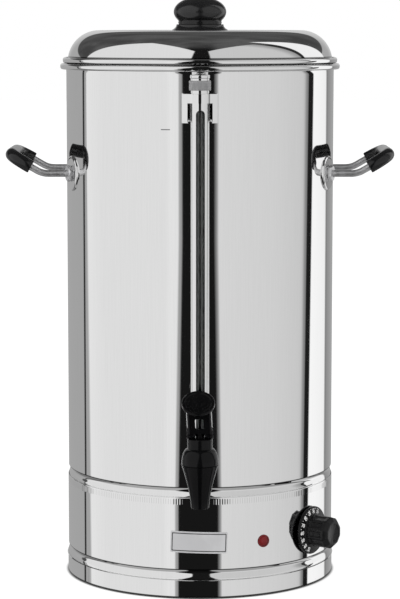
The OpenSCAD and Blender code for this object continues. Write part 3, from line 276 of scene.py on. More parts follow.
def make_floor():
    """White floor with the urn's soft shadow, partly cast and partly painted where the floor's glow
    fades out at the urn's edge. Steel, glass and a view from below see past it.
    """
    mesh = bpy.data.meshes.new("floor")
    shape = bmesh.new()
    bmesh.ops.create_circle(shape, cap_ends=True, segments=96, radius=14)
    shape.to_mesh(mesh)
    shape.free()
    floor = add(bpy.data.objects.new("floor", mesh))
    material = bpy.data.materials.new("floor_white")
    material.use_nodes = True
    tree = material.node_tree
    tree.nodes.clear()
    seen = light_path(tree, "Camera")
    shade = seen.ramp(0.0, 1.0, FLOOR_WHITE, FLOOR_SEEN, "LINEAR")
    _, distance, _ = round_place(tree)
    # painted shadow: no glow at the urn's edge
    glow = distance.ramp(*CONTACT_SHADOW_EDGE, 0.0, FLOOR_GLOW) * seen
    white = node(tree, "AddShader", node(tree, "BsdfDiffuse", vector_of(shade, shade, shade)),
                 node(tree, "Emission", (1, 1, 1, 1), glow))
    under = node(tree, "NewGeometry", out="Backfacing") * seen
    hidden = light_path(tree, "Glossy", "Transmission").math("MAXIMUM", under)
    clear = node(tree, "BsdfTransparent")
    node(tree, "OutputMaterial", node(tree, "MixShader", hidden, white, clear))
    mesh.materials.append(material)


def make_lamps():
    for name, place, size, power in (("lamp_above", (0.2, -0.9, 2.6), 2.4, 10.0),
                                     ("lamp_left", (-2.2, -1.4, 1.4), 1.8, 6.0)):
        data = bpy.data.lights.new(name, "AREA")
        data.size, data.energy = size, power
        lamp = add(bpy.data.objects.new(name, data))
        lamp.location = place
        aim = Vector((0, 0, 0.25)) - Vector(place)
        lamp.rotation_euler = aim.to_track_quat("-Z", "Y").to_euler()
        lamp.visible_glossy = False


# ---- materials ----

# Rings of painted shade along the creases and at the skirt's lower edge: distance from the axis,
# height, half width
RIM_SHADE_RING = (0.1374, 0.51965, 0.0019)
POLISHED = {
    "polished_steel": {"matt_inside": True,
                       "painted_shade_rings": [(0.1350, BEAD_LIP * MM, 0.0008), RIM_SHADE_RING]},
    "lid_steel": {"painted_shade_rings": [(0.1334, 0.5256, 0.0015), RIM_SHADE_RING]},
    "skirt_steel": {"marks": True,
                    "painted_shade_rings": [(0.1356, FOOT_LIP * MM, 0.0008), (0.1362, 0.0016, 0.0007)]},
    "small_steel": {"grain": 0.4, "wave": 0.000004},
}
MARK_COUNT = 348                                    # weld marks round the skirt
MARK_LOW, MARK_HIGH = (0.0930, 0.0942), (0.0996, 0.0986)
MARK_SHADE, MARK_DEPTH = 0.86, 1.6
INNER_WALL, FLOOR_LEVEL = (0.13445, 0.13465), (0.1115, 0.1120)      # where matt_inside ends
MILL_METAL, MILL_MATT = 0.3, 0.42
BLACK = "black_plastic"                             # a look and a slot
# Reflectance and roughness
DRAWN = {"plain_steel": (0.62, 0.3), "spreader_aluminium": (0.78, 0.35),
         "nut_steel": (0.95, 0.42), "rod_steel": (0.74, 0.4), "knurl_steel": (0.60, 0.42)}
# Colour, roughness, height and scale of the orange peel, other sockets
SPECULAR = "Specular IOR Level"
MOULDED = {
    "mill_steel": ((0.62, 0.62, 0.63), 0.4, 0.00001, 900, {"Metallic": 0.3}),
    "plate_silver": ((0.60, 0.60, 0.61), 0.35, 0.000004, 300, {}),
    "enamel": ((0.84, 0.85, 0.86), 0.3, 0.00001, 900, {}),
    BLACK: ((0.003, 0.003, 0.0033), 0.14, 0.000002, 500, {SPECULAR: 0.17}),
    "black_sleeve": ((0.006, 0.006, 0.0065), 0.17, 0.000002, 700, {SPECULAR: 0.42}),
    "knob_black": ((0.009, 0.009, 0.0095), 0.2, 0.000002, 500, {SPECULAR: 0.6}),
    "dial_black": ((0.006, 0.006, 0.0065), 0.26, 0.000004, 900, {SPECULAR: 0.26}),
    "rubber": ((0.03, 0.03, 0.031), 0.55, 0.00003, 1200, {}),
    "ceramic_plastic": ((0.72, 0.68, 0.58), 0.45, 0.00003, 900, {}),
    "red_plastic": ((0.45, 0.02, 0.015), 0.3, 0.00001, 900, {}),
    "dial_white": ((0.92, 0.92, 0.91), 0.4, 0.00001, 900, {}),
    "faded_ink": ((0.13, 0.13, 0.135), 0.5, 0.00001, 900, {}),
    "ink": ((0.06, 0.06, 0.062), 0.5, 0.00001, 900, {}),
}
NODE_LOOKS = {"tank_floor": "mill_steel"}           # nodes that don't show their slot's material


def new_material(name, colour, metallic, roughness, sockets=None):
    material = bpy.data.materials.new(name)
    material.use_nodes = True
    material.diffuse_color = (*colour, 1)
    shader = material.node_tree.nodes["Principled BSDF"]
    values = {"Base Color": (*colour, 1), "Metallic": metallic, "Roughness": roughness}
    for socket, value in {**values, **(sockets or {})}.items():
        shader.inputs[socket].default_value = value
    return material


def filled(material, colour=None, roughness=None, height=None, depth=0.0, metallic=None):
    """Fills the material's sockets; a height with its depth makes a bump"""
    tree = material.node_tree
    normal = height and node(tree, "Bump", Distance=depth, Height=height)
    for socket, value in (("Base Color", colour), ("Roughness", roughness),
                          ("Metallic", metallic), ("Normal", normal)):
        plug(tree, tree.nodes["Principled BSDF"].inputs[socket], value)
    return material


def noise(tree, scale, detail=2.0, stretch=(1, 1, 1), place=None):
    place = place or node(tree, "TexCoord", out="Object")
    mapped = node(tree, "Mapping", Scale=stretch, Vector=place)
    return node(tree, "TexNoise", Scale=scale, Detail=detail, Vector=mapped)


def round_place(tree):
    """Place unrolled from the urn's axis: azimuth in turns, distance, height"""
    x, y, z = axes_of(node(tree, "TexCoord", out="Object"))
    azimuth = x.math("ARCTAN2", y * -1.0) / TAU
    distance = (x * x + y * y).math("SQRT")
    return azimuth, distance, z


def polished(name, grain=0.5, wave=0.00002, marks=False, painted_shade_rings=(), matt_inside=False):
    """Mirror-polished sheet with faint upright polishing lines and slight waves.

    matt_inside leaves the inside of the tank as it comes from the mill."""
    material = new_material(name, (STEEL, STEEL, STEEL), 1.0, 0.05)
    tree = material.node_tree
    azimuth, distance, z = round_place(tree)
    unrolled = vector_of(azimuth, distance, z)
    lines = noise(tree, 60.0, 3.0, (14, 1, 0.25), unrolled)
    cloud = noise(tree, 9.0, 3.0)
    tint = lines.ramp(0.3, 0.7, 0, 1).colours((STEEL - 0.012,) * 3, (STEEL + 0.008,) * 3)
    # painted shade: the colour darkens to a thin dark line along each ring
    for at_r, at_z, half in painted_shade_rings:
        out, up = distance - at_r, z - at_z
        off = (out * out + up * up).math("SQRT")
        tint = tint.dimmed(off.ramp(half * 0.45, half, 0.1, 1.0))
    height = noise(tree, 16.0, 1.0, (1, 1, 0.35))
    if marks:
        row = z.ramp(*MARK_LOW) * z.ramp(*MARK_HIGH)
        ticks = (azimuth * (TAU * MARK_COUNT)).math("SINE") * row
        tint = tint.dimmed(ticks.ramp(0.2, 1.0, 1.0, MARK_SHADE))
        uneven = noise(tree, 5.0, 1.0, (9, 0, 0), unrolled).ramp(0.35, 0.62)
        height = height + ticks * uneven * MARK_DEPTH
    smear = (lines * 0.5 + cloud * 0.5).ramp(0.3, 0.75, 0.025, 0.025 + 0.05 * grain)
    metallic = None
    if matt_inside:
        outside = distance.ramp(*INNER_WALL).math("MAXIMUM", z.ramp(*FLOOR_LEVEL, 1, 0))
        metallic = outside.ramp(0.0, 1.0, MILL_METAL, 1.0)
        smear = outside.mix(MILL_MATT, smear)
    return filled(material, tint, smear, height, wave, metallic)


def drawn_steel(name, level, roughness):
    """Plain sheet and turned steel with a fine grain"""
    material = new_material(name, (level, level, level * 1.02), 1.0, roughness)
    grain = noise(material.node_tree, 220.0, 4.0, (1, 1, 0.08))
    tint = noise(material.node_tree, 30.0, 3.0).colours(
        (level * 0.92,) * 3, (level * 1.06, level * 1.06, level * 1.08))
    return filled(material, tint, grain.ramp(0.3, 0.7, roughness - 0.07, roughness + 0.1),
                  grain, 0.00001)


def moulded(name, colour, roughness, peel, scale, sockets):
    """Moulded plastic or rubber with slight orange peel"""
    material = new_material(name, colour, 0.0, roughness, sockets)
    cloud = noise(material.node_tree, 40.0, 3.0)
    pale = tuple(min(1.0, c * 1.06 + 0.0005) for c in colour)
    deep = tuple(c * 0.94 for c in colour)
    return filled(material, cloud.ramp(0.35, 0.65).colours(deep, pale),
                  cloud.ramp(0.3, 0.7, roughness * 0.8, roughness * 1.25),
                  noise(material.node_tree, scale), peel)


def lens_red():
    material = new_material("red_lens", (0.15, 0.008, 0.010), 0.0, 0.2, {SPECULAR: 0.3})
    # painted shading: the lens is lighter where it faces the viewer and darker towards its rim
    facing = node(material.node_tree, "LayerWeight", 0.45, out="Facing")
    cells = noise(material.node_tree, 700.0)
    shade = (facing + (cells - 0.5) * 0.35).ramp(0.0, 0.7)
    return filled(material, shade.colours((0.19, 0.012, 0.014), (0.035, 0.003, 0.004)),
                  height=cells, depth=0.00003)


def clear_glass():
    material = new_material("gauge_glass", (0.97, 0.985, 0.98), 0.0, 0.0,
                            {"Transmission Weight": 1.0, "IOR": 1.47})
    smear = noise(material.node_tree, 40.0, 3.0, (1, 1, 0.2))
    return filled(material, roughness=smear.ramp(0.45, 0.8, 0.0, 0.05))


def braided():
    """Braided sleeve of the leads"""
    material = new_material("lead_sleeve", (0.5, 0.42, 0.3), 0.0, 0.7)
    weave = noise(material.node_tree, 1500.0, 1.0)
    return filled(material, weave.colours((0.35, 0.28, 0.18), (0.62, 0.55, 0.42)),
                  height=weave, depth=0.00008)


def brass():
    material = new_material("brass", (0.78, 0.6, 0.28), 1.0, 0.25)
    cloud = noise(material.node_tree, 60.0, 4.0)
    return filled(material, cloud.colours((0.62, 0.45, 0.2), (0.84, 0.67, 0.34)),
                  cloud.ramp(0.3, 0.7, 0.18, 0.36))


def make_materials():
    looks = {name: polished(name, **options) for name, options in POLISHED.items()}
    looks.update((name, drawn_steel(name, *values)) for name, values in DRAWN.items())
    looks.update((name, moulded(name, *values)) for name, values in MOULDED.items())
    looks.update(red_lens=lens_red(), gauge_glass=clear_glass(), lead_sleeve=braided(),
                 brass=brass())
    return looks


# ---- mesh tools, all in millimetres ----

def build(name, look, *solids, nodes=(), body="urn", slot="polished_steel", sharp=32.0):
    """Makes a piece of solids, smooth but for edges sharper than an angle"""
    points, faces = [], []
    for solid_points, solid_faces in solids:
        faces += [[len(points) + v for v in face] for face in solid_faces]
        points += solid_points
    mesh = bpy.data.meshes.new(name)
    mesh.from_pydata([tuple(c * MM for c in p) for p in points], [], faces)
    shape = bmesh.new()
    shape.from_mesh(mesh)
    bmesh.ops.remove_doubles(shape, verts=shape.verts, dist=1e-7)
    bmesh.ops.dissolve_degenerate(shape, dist=1e-8, edges=shape.edges)
    bmesh.ops.recalc_face_normals(shape, faces=shape.faces)
    for face in shape.faces:
        face.smooth = True
    for edge in shape.edges:
        if len(edge.link_faces) == 2 and edge.calc_face_angle(0) > radians(sharp):
            edge.smooth = False
    shape.to_mesh(mesh)
    shape.free()
    mesh.materials.append(MATERIALS[look])
    piece = add(bpy.data.objects.new(name, mesh))
    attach(piece, body)
    if nodes:
        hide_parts(*nodes)
    return piece


def circle(count):
    """Angles evenly round a turn"""
    return [TAU * k / count for k in range(count)]


def spot(radius, angle, z):
    return Vector((radius * cos(angle), radius * sin(angle), z))


def add_row(points, row):
    """Adds a row of points and returns their numbers"""
    points.extend(row)
    return list(range(len(points) - len(row), len(points)))


def skin(rows, closed=False, ring=True):
    """Faces between neighbouring rows of point numbers; ring joins each row's ends"""
    faces = []
    for a, b in zip(rows, rows[1:] + (rows[:1] if closed else [])):
        for k in range(len(a) if ring else len(a) - 1):
            n = (k + 1) % len(a)
            face = [a[k], a[n], b[n], b[k]]
            face = [v for j, v in enumerate(face) if v != face[j - 1]]
            if len(face) > 2:
                faces.append(face)
    return faces


def prism(rows):
    """Faces round rows of point numbers, with both ends closed"""
    return skin(rows) + [rows[0][::-1], rows[-1]]


def sheet(front, back):
    """Faces of a thick sheet between two grids of point numbers"""
    faces = skin(front, ring=False) + skin(back, ring=False)
    for end in (0, -1):
        faces += skin([[row[end] for row in front], [row[end] for row in back]], ring=False)
        faces += skin([front[end], back[end]], ring=False)
    return faces


def shifted(r, z, line):
    return [(r + dr, z + dz) for dr, dz in line]


def fillet(points, radii, steps=6, closed=True):
    """2-D outline with its corners rounded and its straight lengths held near their ends"""
    count = len(points)
    corners = []
    for i, point in enumerate(points):
        radius = radii[i] if isinstance(radii, (list, tuple)) else radii
        p = Vector(point)
        corners.append([tuple(p)])
        if radius <= 0 or not closed and i in (0, count - 1):
            continue
        a, c = Vector(points[i - 1]), Vector(points[(i + 1) % count])
        d1, d2 = (p - a).normalized(), (c - p).normalized()
        turn = acos(max(-1.0, min(1.0, d1.dot(d2))))
        if turn < 1e-3:
            continue
        way = 1 if d1.x * d2.y - d1.y * d2.x > 0 else -1
        touch = p - d1 * (radius * tan(turn / 2))
        centre = touch + Vector((-d1.y, d1.x)) * way * radius
        corners[-1] = [tuple(centre + Matrix.Rotation(turn * k / steps * way, 2)
                             @ (touch - centre)) for k in range(steps + 1)]
    line = []
    for i, corner in enumerate(corners):
        line += corner
        if closed or i < count - 1:
            a, b = Vector(corner[-1]), Vector(corners[(i + 1) % count][0])
            length = (b - a).length
            if length > 1.6:
                step = (b - a) * (min(0.5, length / 4) / length)
                line += [tuple(a + step), tuple(b - step)]
    return line


def arc_points(cx, cz, radius, start, end, count, rise=None):
    """Points on a circle, or on an oval with this rise"""
    angles = [radians(start + (end - start) * k / count) for k in range(count + 1)]
    return [(cx + radius * cos(a), cz + (rise or radius) * sin(a)) for a in angles]


def curl_points(cx, cz, radius, start, end, count):
    """Arc with its outer side flattened"""
    points = []
    for c, s in arc_points(0, 0, 1, start, end, count):
        flat = (abs(c) ** 2.8 + abs(s) ** 2.8) ** (-1 / 2.8) if c > 0 else 1.0
        reach = min(flat, 1.12)
        points.append((cx + radius * c * reach, cz + radius * s * reach))
    return [(min(x, cx + radius), max(cz - radius, min(cz + radius, z))) for x, z in points]


def thicken(outer):
    """Closed outline of a sheet whose outer line is given from low to high"""
    line = [Vector(p) for p in outer]
    inner = []
    for i, p in enumerate(line):
        d = (line[min(i + 1, len(line) - 1)] - line[max(i - 1, 0)]).normalized()
        inner.append(p + Vector((-d.y, d.x)) * WALL)
    return [tuple(p) for p in line + inner[::-1]]


def turned(outline, steps=192, place=None, closed=True, shape=None):
    """Turns an outline round +Z; shape(angle, r, z) may change a radius"""
    points, rows = [], []
    for r, z in outline:
        if r < 1e-6:
            rows.append(add_row(points, [Vector((0, 0, z))]) * steps)
            continue
        rows.append(add_row(points, [spot(shape(a, r, z) if shape else r, a, z)
                                     for a in circle(steps)]))
    if place:
        points = [place @ p for p in points]
    return points, skin(rows, closed)


def bent_path(points, bends):
    """Points along straight lengths joined by arcs"""
    points = [Vector(p) for p in points]
    path = [points[0]]

    def straight_to(target):
        """Holds a straight length near both its ends"""
        way = target - path[-1]
        if way.length > 2.0:
            step = way * (0.6 / way.length)
            path.extend([path[-1] + step, target - step])

    for a, b, c, radius in zip(points, points[1:], points[2:], bends):
        d1, d2 = (b - a).normalized(), (c - b).normalized()
        turn = d1.angle(d2)
        touch = b - d1 * (radius * tan(turn / 2))
        centre = touch + (d2 - d1 * d2.dot(d1)).normalized() * radius
        axis = d1.cross(d2).normalized()
        count = max(5, int(degrees(turn) / 4))
        arc = [centre + Matrix.Rotation(turn * k / count, 3, axis) @ (touch - centre)
               for k in range(count + 1)]
        straight_to(arc[0])
        path.extend(arc)
    straight_to(points[-1])
    return path + points[-1:]


def along(path):
    """Lengths and frames along a path, without twist"""
    lengths, frames = [0.0], []
    for a, b in zip(path, path[1:]):
        lengths.append(lengths[-1] + (b - a).length)
    side = None
    for i, p in enumerate(path):
        before = p - path[max(i - 1, 0)]
        after = path[min(i + 1, len(path) - 1)] - p
        tangent = (before.normalized() + after.normalized()).normalized()
        side = side or tangent.orthogonal().normalized()
        side = (side - tangent * side.dot(tangent)).normalized()
        frames.append((p, side, tangent.cross(side)))
    return lengths, frames


def swept(path, stations, sides, closed=False, mirror=False):
    """Round bar along a path; each station is (length along it, radius)"""
    lengths, frames = along(path)
    full = []
    for (s0, r0), (s1, r1) in zip(stations, stations[1:] + (stations[:1] if closed else [])):
        full.append((s0, r0))
        if abs(s1 - s0) > 3.0:
            inner = [s for s in lengths if min(s0, s1) + 0.3 < s < max(s0, s1) - 0.3]
            if s1 < s0:
                inner.reverse()
            full.extend((s, r0 + (r1 - r0) * (s - s0) / (s1 - s0)) for s in inner)
    if not closed:
        full.append(stations[-1])
    points, rows = [], []
    for s, r in full:
        s = min(max(s, 0.0), lengths[-1])
        i = max(k for k in range(len(lengths) - 1) if lengths[k] <= s + 1e-9)
        t = (s - lengths[i]) / (lengths[i + 1] - lengths[i])
        p, u, v = (frames[i][j].lerp(frames[i + 1][j], t) for j in range(3))
        u, v = u.normalized(), v.normalized()
        if r < 1e-6:
            rows.append(add_row(points, [p]) * sides)
            continue
        rows.append(add_row(points, [p + (u * cos(a) + v * sin(a)) * r for a in circle(sides)]))
    if mirror:
        points = [Vector((-p.x, p.y, p.z)) for p in points]
    return points, skin(rows, closed)


def on_wall(azimuth, z, turn=0.0):
    """Frame with +Z outward from the axis at an azimuth, +Y up, +X to the viewer's right"""
    return (Matrix.Translation((0, 0, z)) @ Matrix.Rotation(radians(azimuth), 4, "Z")
            @ Matrix.Rotation(radians(90), 4, "X") @ Matrix.Rotation(turn, 4, "Z"))


def nut(place, low, across, bore, height):
    """Hexagon nut with turned chamfers, seated at a height low of its place"""
    half = across / 2
    corner = half / cos(radians(30)) - half
    points, rows = [], []
    for z, r in ((0, bore + 0.4), (0, half - 0.3), (0.5, None), (height - 1.1, None),
                 (height, half - 0.3), (height, bore + 0.4), (height - 0.4, bore), (0.4, bore)):
        row = []
        for a in circle(72):
            radius, up = r, z
            if r is None:
                radius = half / cos((a % (pi / 3)) - pi / 6)
                drop = (radius - half) / corner
                up = z - 0.9 * drop + 0.5 if z > height / 2 else z + 0.35 * drop
            row.append(place @ spot(radius, a, low + up))
        rows.append(add_row(points, row))
    return points, skin(rows, closed=True)


# ---- tank, skirt, lid ----

def make_tank():
    """Shell with its bead above the skirt, a slight flare and a curled rim"""
    outer = shifted(TANK_R, SKIRT_TOP, [(-0.3, -12), (-0.3, -11.5), (-0.3, -0.5), (-0.15, 0),
                                        (0, 0.5), (0, 0.7)])
    outer += fillet([(TANK_R, BEAD_END - 1.0), (TANK_R, BEAD_END), (TANK_R - 2.0, BEAD_DEEP),
                     (TANK_R, BEAD_LIP), (TANK_R, BEAD_LIP + 1.0)],
                    [0, 14.0, 4.4, 0.7, 0], 14, False)[1:-1]
    outer += [(TANK_R, BEAD_LIP + 1.6), (TANK_R, RIM_TOP - 9.4)]
    outer += [(TANK_R + RIM_FLARE * (k / 6) ** 2, RIM_TOP - 9.0 + 3.3 * k / 6) for k in range(7)]
    inner = [(r - WALL, z) for r, z in outer] + [(TANK_R - WALL, RIM_TOP - 1.6)]
    lip = arc_points(TANK_R + 0.8, RIM_TOP - 1.6, 1.6, 180, 90, 6)[1:]
    curl = TANK_R + 0.2 + CURL_R
    ring = curl_points(curl, RIM_TOP - CURL_R, CURL_R, 90, -180, 54)
    back = arc_points(curl, RIM_TOP - CURL_R, CURL_R - WALL, -180, 90, 30)
    under = shifted(TANK_R, RIM_TOP, [(1.2, -WALL), (0.35, -1.2), (0.1, -2.2), (0.2, -5.0)])
    build("tank", "polished_steel", turned(inner + lip + ring + back + under + outer[::-1], 360),
          nodes=["tank_shell"])


def make_skirt():
    """Base skirt with its own bead"""
    line = shifted(SKIRT_R, SKIRT_LOW, [(0.6, 0), (0.6, 0.5)])
    line += fillet([(SKIRT_R + 0.6, 19.0), (SKIRT_R + 0.6, FOOT_END), (SKIRT_R - 1.5, FOOT_DEEP),
                    (SKIRT_R, FOOT_LIP), (SKIRT_R, FOOT_LIP + 1.0)],
                   [0, 13.0, 3.6, 0.6, 0], 14, False)
    line += [(SKIRT_R, FOOT_LIP + 1.6)]
    line += shifted(SKIRT_R, SKIRT_TOP, [(0, -0.9), (0, -0.4), (-0.12, -0.1), (-0.35, 0)])
    build("skirt", "skirt_steel", turned(thicken(line), 360), nodes=["base_skirt"])


def make_lid():
    """Flat top, round shoulder and curled edge"""
    rise = degrees(acos((LID_EDGE_R - CURL_R + WALL - SHOULDER_R) / SHOULDER_BEND))
    top = [(SHOULDER_R - 0.6, LID_TOP), (60, LID_TOP), (3.6, LID_TOP), (3.3, LID_TOP)]
    outline = arc_points(SHOULDER_R, SHOULDER_Z, SHOULDER_BEND, rise + 2, 90, 48) + top
    outline += [(r, z - WALL) for r, z in reversed(top)]
    outline += arc_points(SHOULDER_R, SHOULDER_Z, SHOULDER_BEND - WALL, 90, rise + 1, 40)
    outline += [(LID_EDGE_R - CURL_R, LID_EDGE_Z + 0.6)]
    outline += curl_points(LID_EDGE_R, LID_EDGE_Z, CURL_R, 185, 450, 54)
    outline += arc_points(LID_EDGE_R, LID_EDGE_Z, CURL_R - WALL, 90, -168, 34)
    build("lid", "lid_steel", turned(outline, 360), nodes=["lid_shell"], body="lid")


def make_knob():
    """Flared collar, and the knob on its ringed foot"""
    foot, belt, knob_r, knob_rise = LID_TOP + 6, LID_TOP + 18.5, 26.5, 15.2
    collar = shifted(0, LID_TOP, [(0, 0), (28.0, 0), (28.2, 0.4)])
    collar += [(23.8 + 4.4 * (1 - k / 12) ** 2.2, LID_TOP + 0.4 + k / 12 * 5.2)
               for k in range(1, 13)]
    collar += [(23.4, LID_TOP + 5.95), (22.9, foot), (0, foot)]
    build("knob_base", "knob_black", turned(collar, 128, closed=False), nodes=["knob_collar"],
          body="lid", slot=BLACK)
    line = shifted(0, foot, [(0, 0), (21.3, 0), (21.7, 0.4), (21.7, 1.2), (22.0, 1.5),
                             (22.0, 2.3), (21.7, 2.6), (21.75, 3.4)])
    start = degrees(asin((foot + 4.2 - belt) / knob_rise))
    line += arc_points(0, belt, knob_r, start, 90, 30, knob_rise)
    build("knob", "knob_black", turned(line, 128, closed=False), nodes=["lid_knob"],
          body="lid", slot=BLACK)


# ---- handles ----

def handle_corners():
    """Corners of the right handle's centre line, from its front end to its back end"""
    az = radians(HANDLE_AZ)
    end, turn = 122.2, 143.0

    def arm(front):
        return [(end * sin(az), front * end * cos(az), HANDLE_Z),
                (turn * sin(az), front * ARM_Y, HANDLE_Z),
                (KNEE_X, front * ARM_Y, HANDLE_Z), (HANDLE_X, front * ARM_Y, GRIP_Z)]

    return [Vector(p) for p in arm(-1) + arm(1)[::-1]]


def make_handles():
    corners = handle_corners()
    path = bent_path(corners, [6, 24, 20, 20, 24, 6])
    total = along(path)[0][-1]
    rod = [(0, 0), (0, ROD_R - 0.8), (0.5, ROD_R), (total - 0.5, ROD_R), (total, ROD_R - 0.8),
           (total, 0)]
    leg = (corners[3] - corners[2]).normalized() * 23
    grip_path = bent_path([corners[3] - leg, corners[3], corners[4], corners[4] - leg], [20, 20])
    reach = along(grip_path)[0][-1] - 4.7
    start = [(0.2, ROD_R + 0.1), (0, 4.2), (0, 6.0), (0.25, SLEEVE_R - 0.2), (0.8, SLEEVE_R)]
    grip = start + [(reach - s, r) for s, r in reversed(start)]
    for side, mirror in (("right", False), ("left", True)):
        build("rod_" + side, "rod_steel", swept(path, rod, 40, mirror=mirror),
              nodes=["handle_rod_" + side])
        build("sleeve_" + side, "black_sleeve", swept(grip_path, grip, 48, True, mirror),
              nodes=["handle_grip_" + side], slot="black_sleeve")


def make_plates():
    """Dished plates seated on the round wall, and the chamfered nuts on them"""
    azimuths = [HANDLE_AZ, 180 - HANDLE_AZ, -HANDLE_AZ, HANDLE_AZ - 180]
    face, edge = TANK_R + 1.9, TANK_R + 0.9
    line = fillet([(3.4, face), (16.0, face - 0.35), (17.5, face - 1.1), (17.5, edge - 6)],
                  [0, 2.5, 0.5, 0], 8, closed=False)
    plates = []
    for azimuth in azimuths:
        place = on_wall(azimuth, HANDLE_Z)
        points, sides = [], []
        for inset, sink in ((0, 0), (1.1, 1.2)):
            rows = []
            for r, z in line:
                radius = r - (inset if r > 16.5 else 0)
                row = [spot(radius, a, 0) for a in circle(96)]
                for p in row:
                    p.z = max(z - sink, sqrt((TANK_R + 0.05) ** 2 - p.x ** 2))
                rows.append(add_row(points, [place @ p for p in row]))
            sides.append(rows)
        out, back = sides
        plates.append((points, skin(out) + skin(back) + skin([out[0], back[0]])
                       + skin([out[-1], back[-1]])))
    build("wall_plates", "small_steel", *plates, nodes=["handle_plates"], sharp=40)
    nuts = [nut(on_wall(azimuth, HANDLE_Z, radians(17)), face, 15.0, 3.45, 3.8)
            for azimuth in azimuths]
    build("handle_nuts", "nut_steel", *nuts, nodes=["handle_outer_nuts"], sharp=20)


# ---- sight gauge ----

GAUGE = Matrix.Translation((0, GAUGE_Y, 0))
TAP = Matrix.Translation((0, TAP_Y, 0))
# Frame with +Z towards the front along the tap's shank
SHANK = Matrix.Translation((0, 0, SHANK_Z)) @ Matrix.Rotation(radians(90), 4, "X")


def make_guard():
    """Slotted guard tube: each row of points starts and ends at the slot's edges"""
    half, columns, turn = 4.25, 96, radians(3.0)
    slot_top = GUARD_TOP - 15.3 - half
    slot_end = slot_top + half + 0.01
    heights = [TEE_TOP, TEE_TOP + 0.5, SLOT_LOW - 0.6, SLOT_LOW - 0.01, SLOT_LOW, SLOT_LOW + 0.6]
    heights += [SLOT_LOW + (slot_top - SLOT_LOW) * k / 12 for k in range(1, 13)]
    heights += [slot_top + half * sin(radians(a)) for a in range(6, 91, 6)]
    heights += [slot_end, slot_top + half + 0.6, GUARD_TOP - 0.5, GUARD_TOP]
    points, tubes = [], []
    for radius in (8.8, 8.0):
        rows = []
        for z in heights:
            x = 0.0
            if SLOT_LOW <= z <= slot_top:
                x = half
            elif slot_top < z <= slot_top + half:
                x = sqrt(max(0.0, half ** 2 - (z - slot_top) ** 2))
            edge = asin(x / radius)
            angles = [turn + edge + (TAU - 2 * edge) * k / columns for k in range(columns + 1)]
            rows.append(add_row(points, [(radius * sin(a), GAUGE_Y - radius * cos(a), z)
                                         for a in angles]))
        tubes.append(rows)
    outer, inner = tubes
    faces = skin(outer, ring=False) + skin(inner, ring=False)
    for end in (0, -1):
        faces += skin([outer[end], inner[end]], ring=False)
    for i in range(heights.index(SLOT_LOW) - 1, heights.index(slot_end) - 1):
        for end in (0, -1):
            faces.append([outer[i][end], outer[i + 1][end], inner[i + 1][end], inner[i][end]])
    build("gauge_tube", "small_steel", (points, faces), nodes=["gauge_guard"])


def make_glass():
    """Glass tube, and the enamel stripe with a dark centre line fired on its back"""
    low, high = TEE_TOP - 9.9, GUARD_TOP + 6
    line = fillet([(3.8, low), (5.5, low), (5.5, high), (3.8, high)], 0.4, 3)
    build("glass_tube", "gauge_glass", turned(line, 96, GAUGE), nodes=["gauge_glass"],
          slot="gauge_glass")
    low, high = TEE_TOP + 1, GUARD_TOP - 6
    for name, inner, outer, half, look in (("glass_stripe", 5.53, 5.75, 62, "enamel"),
                                           ("glass_line", 5.49, 5.54, 18, "ink")):
        points, rows = [], []
        angles = [radians(half * (k / 12 - 1)) for k in range(25)]
        for r in (inner, outer):
            for z in (low, low + 0.5, high - 0.5, high):
                rows.append(add_row(points, [(r * sin(a), GAUGE_Y + r * cos(a), z)
                                             for a in angles]))
        build(name, look, (points, sheet(rows[:4], rows[4:])), slot="gauge_glass", sharp=40)


def knurl(angle, r, z):
    """Diamond knurl on the widest part of the gauge cap"""
    if r < 10.5:
        return r
    turns, rise = angle / TAU * 64, (z - GUARD_TOP) / 1.04
    cuts = [1 - abs(2 * ((turns + way * rise) % 1) - 1) for way in (-1, 1)]
    return r - 0.38 * (1 - min(cuts))


def make_cap():
    """Gauge cap: neck and head polished, the knurled band between them satin"""
    neck, band, head = GUARD_TOP, GUARD_TOP + 3.3, GUARD_TOP + 12.7
    line = shifted(0, neck, [(1, -4), (7.9, -4), (7.9, 0), (8.5, 0), (8.6, 0.15), (8.6, 0.6)])
    line += shifted(0, band, [(8.6, -0.4), (8.6, 0.4), (8.4, 0.5)])
    line += shifted(0, head, [(8.4, -0.5), (8.75, -0.4), (8.75, 0.25), (8.8, 1.9), (9.35, 2.5),
                              (9.4, 2.8), (9.4, 4.2)])
    line += arc_points(9.4 - 1.1, head + 5.5 - 1.1, 1.1, 10, 90, 6)
    line += shifted(0, head, [(8.0, 5.5), (1.6, 5.5), (1.0, 5.2)])
    build("gauge_top", "small_steel", turned(line, 160, GAUGE), nodes=["gauge_cap"])
    line = shifted(0, band, [(8.45, 0.1), (9.9, 0), (10.2, 0.1)])
    line += [(10.55, band + 0.45 + (head - band - 0.9) * k / 36) for k in range(37)]
    line += shifted(0, head, [(10.2, -0.1), (9.7, 0), (8.45, -0.1)])
    build("gauge_knurl", "knurl_steel", turned(line, 384, GAUGE, shape=knurl))


